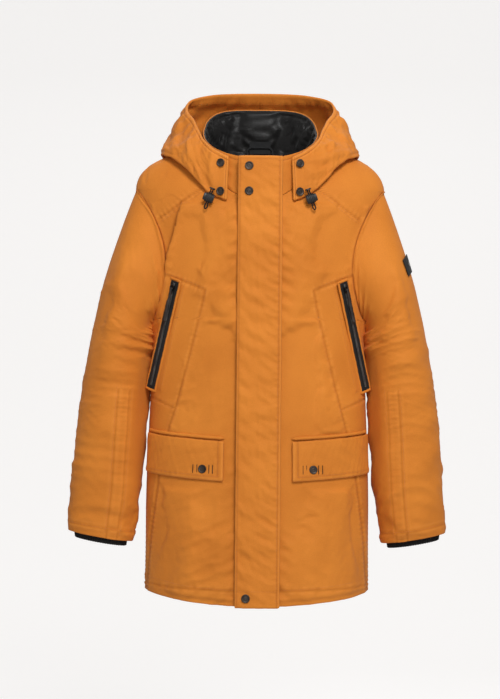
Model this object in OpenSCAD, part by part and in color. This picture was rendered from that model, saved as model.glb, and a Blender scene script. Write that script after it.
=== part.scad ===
/* [Coat] */
// Depth of the hem below the hanger loop, at the centre front
hem_drop = 925; // [890:1:950]
// Rise of the hem from the centre front to the side seam
hem_rise = 16; // [8:1:24]
// Half width of the body at the hem
hem_hw = 228; // [224:1:234]
// Half width of the body at the underarm
chest_hw = 216; // [212:1:217]
// Depth of the body in front of its middle plane, at the hem
front_depth = 140; // [132:1:144]
// Depth of the body behind its middle plane
back_depth = 126; // [120:1:132]

/* [Shoulders and neck] */
// Half width across the shoulder tips
tip_x = 254; // [250:1:256]
// Drop of the shoulder tip below the hanger loop
tip_drop = 95; // [92:1:98]
// Drop of the underarm below the hanger loop
underarm_drop = 360; // [356:1:364]
// Half width of the neckline
neck_hw = 122; // [120:1:124]
// Drop of the neckline at the centre front
neck_front_drop = 124; // [122:1:126]

/* [Cloth] */
// Thickness of the shell cloth
shell_t = 2; // [1.6:0.1:2.2]
// Thickness of the wadding
wadding_t = 4.8; // [3:0.2:5]
// Thickness of the lining
lining_t = 1.2; // [1:0.1:1.4]

/* [Storm flap and snaps] */
// Half width of the storm flap
flap_hw = 43; // [40:1:44]
// Space between the front and the storm flap
flap_gap = 10; // [10:0.5:11]
// Radius of a snap cap
cap_r = 8.5; // [8:0.1:9]
// Height of the two pocket flaps
pocket_flap_h = 77; // [70:1:80]

/* [Hidden] */
$fn = 48;

// Colours
ochre = [0.80, 0.46, 0.17];
black = [0.06, 0.06, 0.06];
gunmetal = [0.22, 0.20, 0.19];

// Heights are measured up from the hanger loop, so the hem is negative.
hem_z = -hem_drop;
side_hem_z = hem_z + hem_rise;
tip_z = -tip_drop;
arm_z = -underarm_drop;
neck_z = -15;
front_neck_z = -neck_front_drop;
mid_y = -62;            // the body's middle plane lies in front of the hanger loop
front_lean = 0.0384;    // the front edge leans back this much per millimetre of height
collar_top_front = -40;
collar_top_back = 82;
air = 0.2;              // space between two layers of cloth
seam = 0.1;             // half the space between two panels, in degrees round the body

function mix(a, b, k) = a + (b - a) * k;
function ease(k) = let (c = min(max(k, 0), 1)) c * c * (3 - 2 * c);
function unit(v) = v / norm(v);

// A smooth curve through a list of values or points, at k from 0 to 1
function through(p, k) =
    let (n = len(p) - 1, s = min(max(k, 0), 1) * n, i = min(floor(s), n - 1), f = s - i)
    let (a = p[max(i - 1, 0)], b = p[i], c = p[i + 1], d = p[min(i + 2, n)])
    b + 0.5 * f * ((c - a) + f * ((2 * a - 5 * b + 4 * c - d) + f * (3 * (b - c) + d - a)));

// ---- The body's outer surface: th is 0 at the centre front, 90 at the left side, 180 at the centre back ----
function half_w(z) =
    z > tip_z ? neck_hw + (tip_x - neck_hw) * sqrt(max(0, 1 - pow((z - tip_z) / (neck_z - tip_z), 2)))
    : z > arm_z ? mix(chest_hw, tip_x, (z - arm_z) / (tip_z - arm_z))
    : mix(chest_hw, hem_hw, ease((arm_z - z) / 400));
function front_y(z) = -front_depth + front_lean * (z - hem_z);
function round_off(z, share) = 1 - share * pow(max(0, (z + 160) / 145), 2);
function front_d(z) = -front_y(z) * round_off(z, 0.7);
function back_d(z) = back_depth * round_off(z, 0.365);
function body_at(th, z) = [
    half_w(z) * sin(th),
    mid_y - (cos(th) > 0 ? front_d(z) : back_d(z)) * cos(th),
    z
];
function body_normal(th, z) =
    unit(cross(body_at(th + 1, z) - body_at(th - 1, z), body_at(th, min(z + 1, neck_z)) - body_at(th, z - 1)));
function on_body(th, z, d) = body_at(th, z) - d * body_normal(th, z);
function th_of(x, z) = asin(min(1, x / half_w(z)));

// The armhole seam and the neckline, as half widths at a height
function armhole_x(z) =
    let (q = min(1, max(0, (z - arm_z) / (tip_z - arm_z))))
    mix(chest_hw, tip_x, q) - 45 * pow(sin(180 * q), 0.8);
function neck_x(z) =
    let (c = pow(min(1, max(0, (neck_z - z) / (neck_z - front_neck_z))), 2 / 3))
    neck_hw * sqrt(1 - c * c);
zip_gap = 4;
function inner_th(z) = th_of(z <= front_neck_z ? zip_gap : neck_x(z), z);
function outer_th(z) = z <= arm_z ? 90 : th_of(armhole_x(z), z);

// ---- Solids from grids ----
// A sheet between depths d0 and d1 under the surface f(u, v, d)
module sheet(f, nu, nv, d0, d1, flip = false) {
    g0 = [for (j = [0:nv], i = [0:nu]) f(i / nu, j / nv, d0)];
    g1 = [for (j = [0:nv], i = [0:nu]) f(i / nu, j / nv, d1)];
    n = (nu + 1) * (nv + 1);
    function at(i, j) = j * (nu + 1) + i;
    quads = concat(
        [for (j = [0:nv - 1], i = [0:nu - 1]) [at(i, j), at(i, j + 1), at(i + 1, j + 1), at(i + 1, j)]],
        [for (j = [0:nv - 1], i = [0:nu - 1]) [n + at(i, j), n + at(i + 1, j), n + at(i + 1, j + 1), n + at(i, j + 1)]],
        [for (i = [0:nu - 1]) [at(i, 0), at(i + 1, 0), n + at(i + 1, 0), n + at(i, 0)]],
        [for (i = [0:nu - 1]) [at(i + 1, nv), at(i, nv), n + at(i, nv), n + at(i + 1, nv)]],
        [for (j = [0:nv - 1]) [at(0, j + 1), at(0, j), n + at(0, j), n + at(0, j + 1)]],
        [for (j = [0:nv - 1]) [at(nu, j), at(nu, j + 1), n + at(nu, j + 1), n + at(nu, j)]]
    );
    solid_of(concat(g0, g1), quads, flip);
}

// A tube between depths d0 and d1 under the surface f(u, v, d), closed round u
module tube(f, nu, nv, d0, d1, flip = false) {
    g0 = [for (j = [0:nv], i = [0:nu - 1]) f(i / nu, j / nv, d0)];
    g1 = [for (j = [0:nv], i = [0:nu - 1]) f(i / nu, j / nv, d1)];
    n = nu * (nv + 1);
    function at(i, j) = j * nu + i % nu;
    quads = concat(
        [for (j = [0:nv - 1], i = [0:nu - 1]) [at(i, j), at(i, j + 1), at(i + 1, j + 1), at(i + 1, j)]],
        [for (j = [0:nv - 1], i = [0:nu - 1]) [n + at(i, j), n + at(i + 1, j), n + at(i + 1, j + 1), n + at(i, j + 1)]],
        [for (i = [0:nu - 1]) [at(i, 0), at(i + 1, 0), n + at(i + 1, 0), n + at(i, 0)]],
        [for (i = [0:nu - 1]) [at(i + 1, nv), at(i, nv), n + at(i, nv), n + at(i + 1, nv)]]
    );
    solid_of(concat(g0, g1), quads, flip);
}

module solid_of(points, quads, flip) {
    tris = [for (q = quads, t = [[q[0], q[1], q[2]], [q[0], q[2], q[3]]]) flip ? [t[2], t[1], t[0]] : t];
    polyhedron(points = points, faces = tris, convexity = 10);
}

module on_both_sides() {
    children();
    mirror([1, 0, 0]) children();
}

// ---- Body panels ----
front_cols = 8;
front_rows = [
    [hem_z, side_hem_z], [-870, -860], [-790, -785], [-700, -698], [-605, -605], [-510, -510], [-430, -430],
    [-360, -360], [-300, -305], [-240, -255], [-180, -215], [-124, -187], [-101, -173], [-80, -159]
];
function row_at(rows, v) =
    let (s = v * (len(rows) - 1), i = min(floor(s + 0.001), len(rows) - 2)) mix(rows[i], rows[i + 1], s - i);
front_surface = function (u, v, d)
    let (r = row_at(front_rows, v))
    on_body(mix(inner_th(r[0]), outer_th(r[1]) - seam, u), mix(r[0], r[1], u), d);
back_rows = [side_hem_z, -860, -785, -698, -605, -510, -430, -360, -305, -255, -215, -180, -150];
back_surface = function (u, v, d)
    let (s = v * (len(back_rows) - 1), i = min(floor(s + 0.001), len(back_rows) - 2))
    let (z = mix(back_rows[i], back_rows[i + 1], s - i), edge = 180 - outer_th(z) + seam)
    on_body(mix(edge, 360 - edge, u), z, d);
yoke_rows = [-149.5, -120, -95, -72, -48, -30, -19, -15.5];
back_yoke_surface = function (u, v, d)
    let (s = v * (len(yoke_rows) - 1), i = min(floor(s + 0.001), len(yoke_rows) - 2))
    let (z = mix(yoke_rows[i], yoke_rows[i + 1], s - i))
    let (edge = (z < tip_z ? 180 - outer_th(z) : 90) + 2 * seam)
    on_body(mix(edge, 360 - edge, u), z, d);
// The front yoke's rows crowd towards the shoulder line, where the body turns over to the back.
front_yoke_surface = function (u, v, d)
    let (k = 1 - 0.992 * pow(1 - v, 3), zl = mix(-80, neck_z, k), zr = mix(-159, tip_z, k))
    on_body(mix(inner_th(zl), outer_th(zr), u) - seam, mix(zl, zr, pow(u, 1 + k)), d);

module front_layer(d0, d1) sheet(front_surface, front_cols, len(front_rows) - 1, d0, d1);
module back_layer(d0, d1) sheet(back_surface, 2 * front_cols, len(back_rows) - 1, d0, d1);
module left_front_panel() { color(ochre) front_layer(0, shell_t); }
module right_front_panel() { color(ochre) mirror([1, 0, 0]) front_layer(0, shell_t); }
module back_panel() { color(ochre) back_layer(0, shell_t); }
module back_yoke() { color(ochre) sheet(back_yoke_surface, 18, len(yoke_rows) - 1, 0, shell_t); }
module left_yoke() { color(ochre) sheet(front_yoke_surface, 6, 5, 0, shell_t); }
module right_yoke() { color(ochre) mirror([1, 0, 0]) left_yoke(); }

bag_t = 1.2;
wadding_d = shell_t + 2 * air + bag_t;
lining_d = wadding_d + wadding_t + air;
module body_wadding() {
    color("ivory") {
        on_both_sides() front_layer(wadding_d, wadding_d + wadding_t);
        back_layer(wadding_d, wadding_d + wadding_t);
    }
}
module left_front_lining() { color(black) front_layer(lining_d, lining_d + lining_t); }
module right_front_lining() { color(black) mirror([1, 0, 0]) left_front_lining(); }
module back_lining() { color(black) back_layer(lining_d, lining_d + lining_t); }

// The turned-up hem, as a strip inside the lining
facing_h = 34;
hem_surface = function (u, v, d)
    let (th = mix(3, 357, u), front = max(0, cos(th)))
    on_body(th, side_hem_z - hem_rise * front * front + 2 + facing_h * v, d);
module hem_facing() {
    facing_d = lining_d + lining_t + 1;
    color(ochre) sheet(hem_surface, 40, 1, facing_d, facing_d + 1.2);
}

// ---- Collar: psi is 0 at the centre front and 180 at the centre back ----
function neck_at(psi) =
    let (c = cos(psi), z = c > 0 ? neck_z - (neck_z - front_neck_z) * pow(c, 1.5) : neck_z, x = neck_hw * sin(psi))
    c > 0 ? [x, mid_y - front_d(z) * sqrt(1 - pow(min(1, abs(x) / half_w(z)), 2)), z]
    : [x, mid_y - back_d(neck_z) * c, z];
function collar_top(psi) = [
    118 * sin(psi),
    mid_y - 16.5 - 91.5 * cos(psi),
    mix(collar_top_front, collar_top_back, (1 - cos(psi)) / 2)
];
function collar_out(psi) = unit([92 * sin(psi), -120 * cos(psi), 0]);
collar_gap = 2.2;
collar_surface = function (u, v, d)
    let (psi = mix(collar_gap, 360 - collar_gap, u), low = neck_at(psi) + [0, 0, 2.5 + 0.6 * d])
    mix(low, collar_top(psi), v) - d * collar_out(psi);
collar_wadding_t = 8;
module collar_layer(d0, d1) sheet(collar_surface, 32, 3, d0, d1);
module collar_shell() { color(ochre) collar_layer(0, shell_t); }
module collar_wadding() { color("ivory") collar_layer(shell_t + air, shell_t + air + collar_wadding_t); }
collar_lining_d = shell_t + 2 * air + collar_wadding_t;
module collar_lining() { color(black) collar_layer(collar_lining_d, collar_lining_d + lining_t); }

inner_back_y = mid_y + back_d(neck_z) - collar_lining_d - lining_t;
module neck_label() {
    color(black) translate([-22, inner_back_y - 4.4, -12]) cube([44, 0.8, 26]);
}
// The loop's band is sewn to the neck seam at its two ends, and its inner top edge is the model's origin.
loop_hw = 25;
loop_h = 14;
loop_band = 3;
loop_round = 8;
module arch(hw, h, r) {
    translate([-hw, -h]) square([2 * hw, h - r]);
    translate([r - hw, -h]) square([2 * (hw - r), h]);
    for (x = [r - hw, hw - r]) translate([x, -r]) circle(r);
}
module hanger_loop() {
    color(black) {
        translate([0, 2, 0]) rotate([90, 0, 0]) linear_extrude(4) difference() {
            translate([0, loop_band]) arch(loop_hw + loop_band, loop_h + loop_band, loop_round + loop_band);
            arch(loop_hw, loop_h + 1, loop_round);
        }
        for (x = [-loop_hw - loop_band, loop_hw]) translate([x, 1, -loop_h]) cube([loop_band, 2.6, 5]);
    }
}

// ---- The front edge: z runs up the closing line and -y points away from the coat ----
lean_angle = atan(front_lean);
front_len = (collar_top_front - hem_z) / cos(lean_angle);
module on_front(x = 0, up = 0, out = 0) {
    translate([0, mid_y - front_depth, hem_z]) rotate([-lean_angle, 0, 0]) translate([x, -out, up]) children();
}
function up_of(z) = (z - hem_z) / cos(lean_angle);

zip_out = 3.4;
tooth_pitch = 8;
zip_top = front_len - 6;
zip_foot = 24;
module main_zip_tapes() {
    color(black) on_both_sides() on_front(3.4, zip_foot, zip_out + 1) cube([13, 1, zip_top - zip_foot]);
}
module main_zip_teeth() {
    count = floor((zip_top - zip_foot - 30) / tooth_pitch);
    chain = concat(
        [[3.2, zip_foot], [3.2, zip_foot + count * tooth_pitch]],
        [for (k = [count - 1:-1:0], p = [[1.4, 0.8], [-0.6, 0.6], [-0.6, 0.25], [1.4, 0.05]])
            [p[0], zip_foot + (k + p[1]) * tooth_pitch]]
    );
    color(gunmetal) {
        on_front(0, 0, zip_out - 0.9) rotate([90, 0, 0]) linear_extrude(2.6) polygon(chain);
        on_front(0, 0, zip_out - 0.9) rotate([90, 0, 0]) linear_extrude(2.6)
            translate([0, tooth_pitch / 2]) mirror([1, 0]) polygon(chain);
        on_front(-5, zip_foot - 12, zip_out + 1.8) cube([10, 3, 11]);
    }
}
main_slider_up = zip_top - 24;
module main_slider() {
    color(gunmetal) difference() {
        on_front(-5.5, main_slider_up, zip_out + 3.8) cube([11, 5.6, 13]);
        on_front(-10, main_slider_up - 1, zip_out + 2.2) cube([20, 3.2, 15]);
        on_front(-1.6, main_slider_up + 3, zip_out + 3.9) cube([3.2, 0.9, 8]);
    }
}
main_pull_out = zip_out + 4.1;
module main_pull() {
    color(gunmetal) on_front(-3, main_slider_up - 26, main_pull_out + 1.2) difference() {
        cube([6, 1.2, 34]);
        translate([1.6, -1, 26]) cube([2.8, 4, 5]);
    }
}

// Snap caps stand on the flap, and studs stand on the front below them.
front_snap_x = -22;
front_snap_z = [-57, -107, -300, -500, -700, -908];
stud_r = 3.4;
socket_r = 4.2;
module front_snap_studs() {
    color(gunmetal) for (z = front_snap_z)
        on_front(front_snap_x, up_of(z), 4.4) rotate([90, 0, 0]) union() {
            cylinder(r = 6, h = 1.2);
            cylinder(r = stud_r, h = flap_gap - 5.6);
        }
}
flap_t = 3.2;
storm_surface = function (u, v, d)
    let (x = mix(-flap_hw, flap_hw, u), z = mix(hem_z, collar_top_front + 3, v))
    [x, mid_y + front_y(z) + 112 * (1 - sqrt(1 - pow(x / 232, 2))) - flap_gap - flap_t + d, z];
module storm_flap() {
    color(ochre) sheet(storm_surface, 6, 12, 0, flap_t);
}
module storm_flap_snap_caps() {
    color(gunmetal) for (z = [front_snap_z[0], front_snap_z[1], front_snap_z[5]])
        on_front(front_snap_x, up_of(z), flap_gap + flap_t + 0.1) rotate([90, 0, 0]) union() {
            cylinder(r = cap_r, h = 1.2);
            translate([0, 0, 1.2]) cylinder(r1 = cap_r, r2 = cap_r - 2.4, h = 1.0);
        }
}

// ---- Chest pockets: a straight zip on each side, with its own frame ----
zip_hi = [165, -285];
zip_lo = [213, -502];
zip_len = 226;
zip_lift = 6.3;
function zip_end(p) = on_body(th_of(p[0], p[1]), p[1], -zip_lift);
zip_a = zip_end(zip_hi);
zip_dir = unit(zip_end(zip_lo) - zip_a);
zip_face = unit(cross(cross(zip_dir, [0.62, -0.785, 0]), zip_dir));
zip_side = cross(zip_dir, zip_face);
// z runs down the zip from its top end, and y points away from the coat
module on_chest_zip() {
    multmatrix([
        [zip_side[0], zip_face[0], zip_dir[0], zip_a[0]],
        [zip_side[1], zip_face[1], zip_dir[1], zip_a[1]],
        [zip_side[2], zip_face[2], zip_dir[2], zip_a[2]],
        [0, 0, 0, 1]
    ]) children();
}
chest_slider_at = 8;
module left_chest_zip() {
    color(black) on_chest_zip() union() {
        translate([-11, -0.6, 0]) cube([22, 1.2, zip_len]);
        translate([-2.6, 0.5, 2]) cube([5.2, 1.6, zip_len - 4]);
    }
}
module right_chest_zip() { color(black) mirror([1, 0, 0]) left_chest_zip(); }
module left_chest_slider() {
    color(gunmetal) on_chest_zip() translate([-4.5, 2.4, chest_slider_at]) difference() {
        cube([9, 3.4, 12]);
        translate([-1, 1.4, 4]) cube([11, 3, 4]);
        translate([3, 1.4, -1]) cube([3, 3, 14]);
    }
}
module right_chest_slider() { color(gunmetal) mirror([1, 0, 0]) left_chest_slider(); }
// The pull swings on the slider's cross bar
module left_chest_pull() {
    color(black) on_chest_zip() translate([0, 7.4, chest_slider_at + 6]) union() {
        rotate([0, 90, 0]) translate([0, 0, -4]) cylinder(r = 1.1, h = 8);
        translate([-3, -0.8, 0.5]) cube([6, 1.6, 22]);
        translate([-3.6, -1.2, 22]) cube([7.2, 2.4, 46]);
    }
}
module right_chest_pull() { color(black) mirror([1, 0, 0]) left_chest_pull(); }
// Pocket bags lie behind the front panel, on the same rows and columns.
module pocket_bag(cols, rows) {
    n = len(front_rows) - 1;
    bag = function (u, v, d) front_surface(mix(cols[0], cols[1], u) / front_cols, mix(rows[0], rows[1], v) / n, d);
    on_both_sides() sheet(bag, cols[1] - cols[0], rows[1] - rows[0], shell_t + air, shell_t + air + bag_t);
}
module chest_pocket_bags() { color("dimgray") pocket_bag([3, 7], [5, 8]); }

// ---- Cargo pockets with flaps ----
flap_th = [17.7, 78.5];
flap_top_z = -603;
flap_slant = 12;
function flap_z(th) = flap_top_z + flap_slant * (th - flap_th[0]) / (flap_th[1] - flap_th[0]);
flap_surface = function (u, v, d)
    let (th = mix(flap_th[0], flap_th[1], u)) on_body(th, flap_z(th) - pocket_flap_h * (1 - v), d);
module left_pocket_flap() { color(ochre) sheet(flap_surface, 10, 3, -5.2, -2); }
module right_pocket_flap() { color(ochre) mirror([1, 0, 0]) left_pocket_flap(); }
welt_surface = function (u, v, d)
    let (th = mix(flap_th[0] - 0.5, flap_th[1] + 0.5, u)) on_body(th, flap_z(th) + 4 + 6 * v, d);
module pocket_welts() { color(ochre) on_both_sides() sheet(welt_surface, 10, 1, -4.5, -0.3); }
module cargo_pocket_bags() { color("dimgray") pocket_bag([2, 7], [2, 4]); }
flap_snap = [108, -657];
module at_flap_snap(out) {
    th = th_of(flap_snap[0], flap_snap[1]);
    n = body_normal(th, flap_snap[1]);
    translate(body_at(th, flap_snap[1]) + out * n) rotate([0, 0, atan2(n[1], n[0])]) rotate([0, 90, 0]) children();
}
module pocket_snap_studs() {
    color(gunmetal) on_both_sides() at_flap_snap(0.5) cylinder(r = 4.5, h = 1);
}
module left_flap_snap_cap() {
    color(gunmetal) at_flap_snap(5.7) union() {
        cylinder(r = cap_r, h = 1.2);
        translate([0, 0, 1.2]) cylinder(r1 = cap_r, r2 = cap_r - 2.4, h = 1.0);
    }
}
module right_flap_snap_cap() { color(gunmetal) mirror([1, 0, 0]) left_flap_snap_cap(); }

// ---- Sleeves: phi is 0 on the outer line, 90 at the front and 180 on the inner line ----
outer_line = [
    [254, -95], [287, -179], [314, -266], [334, -350], [348, -420],
    [361, -500], [371, -580], [379, -683], [386, -791]
];
inner_line = [
    [216, -360], [217, -366], [218.5, -378], [220.5, -400], [224, -440],
    [230, -512], [234, -596], [239, -703], [254, -813]
];
sleeve_depths = [74, 84, 84, 82, 79, 74, 68, 58, 43];
function armhole_at(phi) =
    let (z = mix(arm_z, tip_z, (1 + cos(phi)) / 2), x = armhole_x(z), front = sin(phi) >= 0)
    let (c = sqrt(max(0, 1 - pow(min(1, x / half_w(z)), 2))))
    [x, mid_y + (front ? -front_d(z) : back_d(z)) * c, z];
function sleeve_tube(phi, t) =
    let (o = through(outer_line, t), i = through(inner_line, t), c = (o + i) / 2, a = (o - i) / 2)
    let (y = mid_y - through(sleeve_depths, t) * sin(phi))
    [c[0] + a[0] * cos(phi), y, c[1] + a[1] * cos(phi)];
function sleeve_at(phi, t) = mix(armhole_at(phi), sleeve_tube(phi, t), ease(t / 0.3));
function sleeve_normal(phi, t) =
    unit(cross(sleeve_at(phi + 2, t) - sleeve_at(phi - 2, t), sleeve_at(phi, min(1, t + 0.01)) - sleeve_at(phi, t - 0.01)));
function sleeve_skin(phi, t, d) = sleeve_at(phi, t) - d * sleeve_normal(phi, max(t, 0.012));

// The sleeve turns about this axis, and both halves of the joint end on a round edge about it.
pivot = [292, -450];
pivot_r = 73;
pivot_gap = 1.8;
arm_up = unit([-0.135, 1]);
arm_out = [arm_up[1], -arm_up[0]];
pivot_t = 0.53;
function joint_edge(phi, d, r) =
    let (p = sleeve_skin(phi, pivot_t, d), q = [p[0], p[2]] - pivot, u = q * arm_out)
    let (e = pivot + u * arm_out + sqrt(max(0, r * r - u * u)) * arm_up)
    [e[0], p[1], e[1]];
cap_surface = function (u, v, d)
    let (phi = 360 * u, k = ease(v / 0.99) * v)
    v == 1 ? joint_edge(phi, d, pivot_r + pivot_gap)
    : mix(sleeve_skin(phi, 0.035 + 0.371 * v, d), joint_edge(phi, d, pivot_r + pivot_gap), k * k);
sleeve_surface = function (u, v, d)
    let (phi = 360 * u, t = mix(pivot_t, 1, v))
    mix(joint_edge(phi, d, pivot_r), sleeve_skin(phi, t, d), ease(v / 0.3));
sleeve_wall = 3;
module left_sleeve_cap() { color(ochre) tube(cap_surface, 20, 6, 0, sleeve_wall); }
module right_sleeve_cap() { color(ochre) mirror([1, 0, 0]) left_sleeve_cap(); }
module left_sleeve() { color(ochre) tube(sleeve_surface, 20, 8, 0, sleeve_wall); }
module right_sleeve() { color(ochre) mirror([1, 0, 0]) left_sleeve(); }
module left_sleeve_lining() { color(black) tube(sleeve_surface, 20, 8, sleeve_wall + air, sleeve_wall + air + 1.4); }
module right_sleeve_lining() { color(black) mirror([1, 0, 0]) left_sleeve_lining(); }
rib_surface = function (u, v, d)
    let (phi = 360 * u, t = mix(0.88, 1, min(1, v * 1.5)), p = sleeve_at(phi, t), c = sleeve_tube(90, t))
    let (drop = max(0, v - 0.667) * 3 * 12, mid = [c[0], mid_y, c[2]], s = mix(0.88, 0.78, v))
    mid + (p - mid) * s - d * unit([p[0] - mid[0], p[1] - mid[1], 0]) - [0, 0, drop];
module left_rib_cuff() { color(black) tube(rib_surface, 20, 3, 0, 2.5); }
module right_rib_cuff() { color(black) mirror([1, 0, 0]) left_rib_cuff(); }
badge_surface = function (u, v, d) sleeve_skin(mix(3, 37, u), mix(0.254, 0.223, v), d);
module sleeve_badge() { color(black) sheet(badge_surface, 4, 3, -2.4, -0.9, true); }

// ---- Hood, lying open round the collar: lines run from the front edge, round the side, to the centre back ----
hood_rim = [
    [66, -100, -37], [95, -86, -20], [116, -59, 2], [126, -29, 25], [138, 2, 50], [154, 40, 76],
    [146, 78, 102], [102, 102, 116], [52, 114, 121], [0, 117, 122]
];
hood_foot = [
    [69, -108, -124], [104, -99, -108], [134, -86, -76], [170, -58, -40], [200, -18, -24], [204, 34, -26],
    [178, 92, -60], [128, 138, -110], [66, 164, -148], [0, 172, -160]
];
hood_neck = [
    [78, -99, -100], [103, -80, -66], [122, -61, -36], [131, -28, -15], [131, 4, -6], [124, 32, -2],
    [106, 58, -2], [78, 77, -2], [42, 88, -2], [0, 92, -2]
];
hood_swell = [0, 2, 3, 2, 0, 4, 22, 40, 48, 50];
function hood_side(line, k) = through(line, min(k, 1 - k) * 2) + [0, mid_y, 0];
function flipped(p, k) = k > 0.5 ? [-p[0], p[1], p[2]] : p;
function hood_out(k) =
    let (n = through(hood_foot, min(k, 1 - k) * 2)) unit([n[0], n[1] + 20, 40]);
function hood_wall(k, v) =
    let (s = through(hood_swell, min(k, 1 - k) * 2) * sin(180 * pow(v, 0.8)))
    flipped(mix(hood_side(hood_foot, k), hood_side(hood_rim, k), v) + s * hood_out(k), k);
function wall_normal(f, k, v) = unit(cross(f(k + 0.004, v) - f(k - 0.004, v), f(k, v + 0.02) - f(k, v - 0.02)));
hood_wall_f = function (k, v) hood_wall(min(max(k, 0), 1), v);
hood_surface = function (u, v, d) hood_wall(u, mix(0.03, 1, v)) - d * wall_normal(hood_wall_f, min(max(u, 0.01), 0.99), mix(0.05, 0.98, v));
hood_t = 4;
module hood_shell() { color(ochre) sheet(hood_surface, 26, 6, 0, hood_t); }
hood_lining_surface = function (u, v, d) hood_surface(u, mix(1 / 6, 1, v), d);
module hood_lining() { color(ochre) sheet(hood_lining_surface, 26, 5, hood_t + 0.3, hood_t + 1.8); }
base_gap = 13;          // keeps the neck panel's edge inside the hood's wall
function hood_base(k, v) =
    let (side = min(k, 1 - k) * 2, p = hood_side(hood_neck, k), q = hood_side(hood_foot, k))
    let (edge = q - base_gap * unit(q - p), sag = [0, 0, -6 * side * sin(180 * v)])
    flipped(mix(p, edge, v) + sag, k);
hood_base_f = function (k, v) hood_base(min(max(k, 0), 1), v);
hood_base_surface = function (u, v, d)
    let (k = mix(0.12, 0.88, u)) hood_base(k, v) + d * wall_normal(hood_base_f, k, mix(0.05, 0.95, v));
module hood_neck_panel() { color(ochre) sheet(hood_base_surface, 20, 4, 0, 2, true); }

// Snaps that hold the hood's front tabs to the collar
hood_snaps = [[79, -49], [79, -106]];
// A point of the hood's wall at half width x and height z, found along its front tab
function tab_at(x, z) =
    let (k = 0.5 * (x - 66) / (104 - 69) / 9, v = (z + 124) / 87)
    hood_wall(k, v);
module at_hood_snap(p, out) {
    q = tab_at(p[0], p[1]);
    translate([p[0], q[1] - out, p[1]]) rotate([0, 0, 24]) rotate([90, 0, 0]) children();
}
module hood_snap_caps() {
    color(gunmetal) on_both_sides() for (p = hood_snaps) at_hood_snap(p, 2.8) union() {
        cylinder(r = cap_r, h = 1.2);
        translate([0, 0, 1.2]) cylinder(r1 = cap_r, r2 = cap_r - 2.4, h = 1.0);
    }
}
module hood_snap_studs() {
    color(gunmetal) on_both_sides() for (p = hood_snaps) at_hood_snap(p, -9.0) cylinder(r = 4.5, h = 1.4);
}

// ---- Drawcord loops with cord locks: x runs along the lock's barrel, z up the cord, -y away from the coat ----
cord_r = 1.25;
cord_gap = 1.9;         // half the space between the cord's two strands
eyelet_at = [95, mid_y - 111, -103];
cord_tilt = 20;
module on_cord() {
    translate(eyelet_at) rotate([0, -cord_tilt, 0]) children();
}
module hood_eyelets() {
    color(gunmetal) on_both_sides() on_cord() difference() {
        cylinder(r = 6, h = 2.4);
        translate([0, 0, -1]) cylinder(r = 3.6, h = 5);
    }
}
cord_route = [
    [-1.9, 0, 0], [-1.9, 0, -6], [-1.9, 0, -14], [-1.9, 0, -22], [-1.9, 0, -29], [-2.6, 0, -34], [-2.6, 0, -38],
    [0, 0, -41], [2.6, 0, -38], [2.6, 0, -34], [1.9, 0, -29], [1.9, 0, -22], [1.9, 0, -14], [1.9, 0, -6], [1.9, 0, 0]
];
cord_rings = 40;
cord_ring = 8;
cord_surface = function (u, v, d)
    let (p = through(cord_route, v), a = through(cord_route, v - 0.01), b = through(cord_route, v + 0.01))
    let (t = unit(b - a), n = [t[2], 0, -t[0]])
    p + (cord_r - d) * (cos(360 * u) * n + sin(360 * u) * [0, 1, 0]);
module left_drawcord() { color(black) on_cord() rod(cord_surface, cord_ring, cord_rings); }
module right_drawcord() { color(black) mirror([1, 0, 0]) left_drawcord(); }
// A closed rod whose skin is the surface f(u, v, 0)
module rod(f, nu, nv) {
    points = [for (j = [0:nv], i = [0:nu - 1]) f(i / nu, j / nv, 0)];
    function at(i, j) = j * nu + i % nu;
    sides = [for (j = [0:nv - 1], i = [0:nu - 1]) [at(i, j), at(i, j + 1), at(i + 1, j + 1), at(i + 1, j)]];
    polyhedron(
        points = points,
        faces = concat(
            [for (q = sides, t = [[q[0], q[1], q[2]], [q[0], q[2], q[3]]]) t],
            [[for (i = [0:nu - 1]) at(i, 0)]],
            [[for (i = [nu - 1:-1:0]) at(i, nv)]]
        ),
        convexity = 10
    );
}

lock_drop = 18;         // distance of the lock's middle below the eyelet
lock_side = 4;          // half the space between the barrel's two round sides
lock_len = 18;
slot_from = 6.4;        // the cord slot, along the barrel
slot_len = 7.2;
button_travel = 3;
module lock_section(r) {
    for (s = [-1, 1]) translate([0, lock_side * s]) circle(r);
    translate([-r, -lock_side]) square([2 * r, 2 * lock_side]);
}
module on_lock() {
    on_cord() translate([-slot_from - slot_len / 2, 0, -lock_drop]) rotate([90, 0, 90]) children();
}
module cord_slot(from, to) {
    translate([-1.7, -20, from]) cube([3.4, 40, to - from]);
}
module left_cord_lock() {
    color(black) on_lock() difference() {
        linear_extrude(lock_len) lock_section(5.5);
        translate([0, 0, 1.2]) linear_extrude(lock_len) lock_section(4.2);
        cord_slot(slot_from, slot_from + slot_len);
    }
}
module right_cord_lock() { color(black) mirror([1, 0, 0]) left_cord_lock(); }
module left_lock_button() {
    color(black) on_lock() difference() {
        translate([0, 0, 4.6]) linear_extrude(lock_len - 0.2) lock_section(3.8);
        cord_slot(slot_from - 0.2, slot_from + slot_len + button_travel + 0.2);
    }
}
module right_lock_button() { color(black) mirror([1, 0, 0]) left_lock_button(); }

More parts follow.
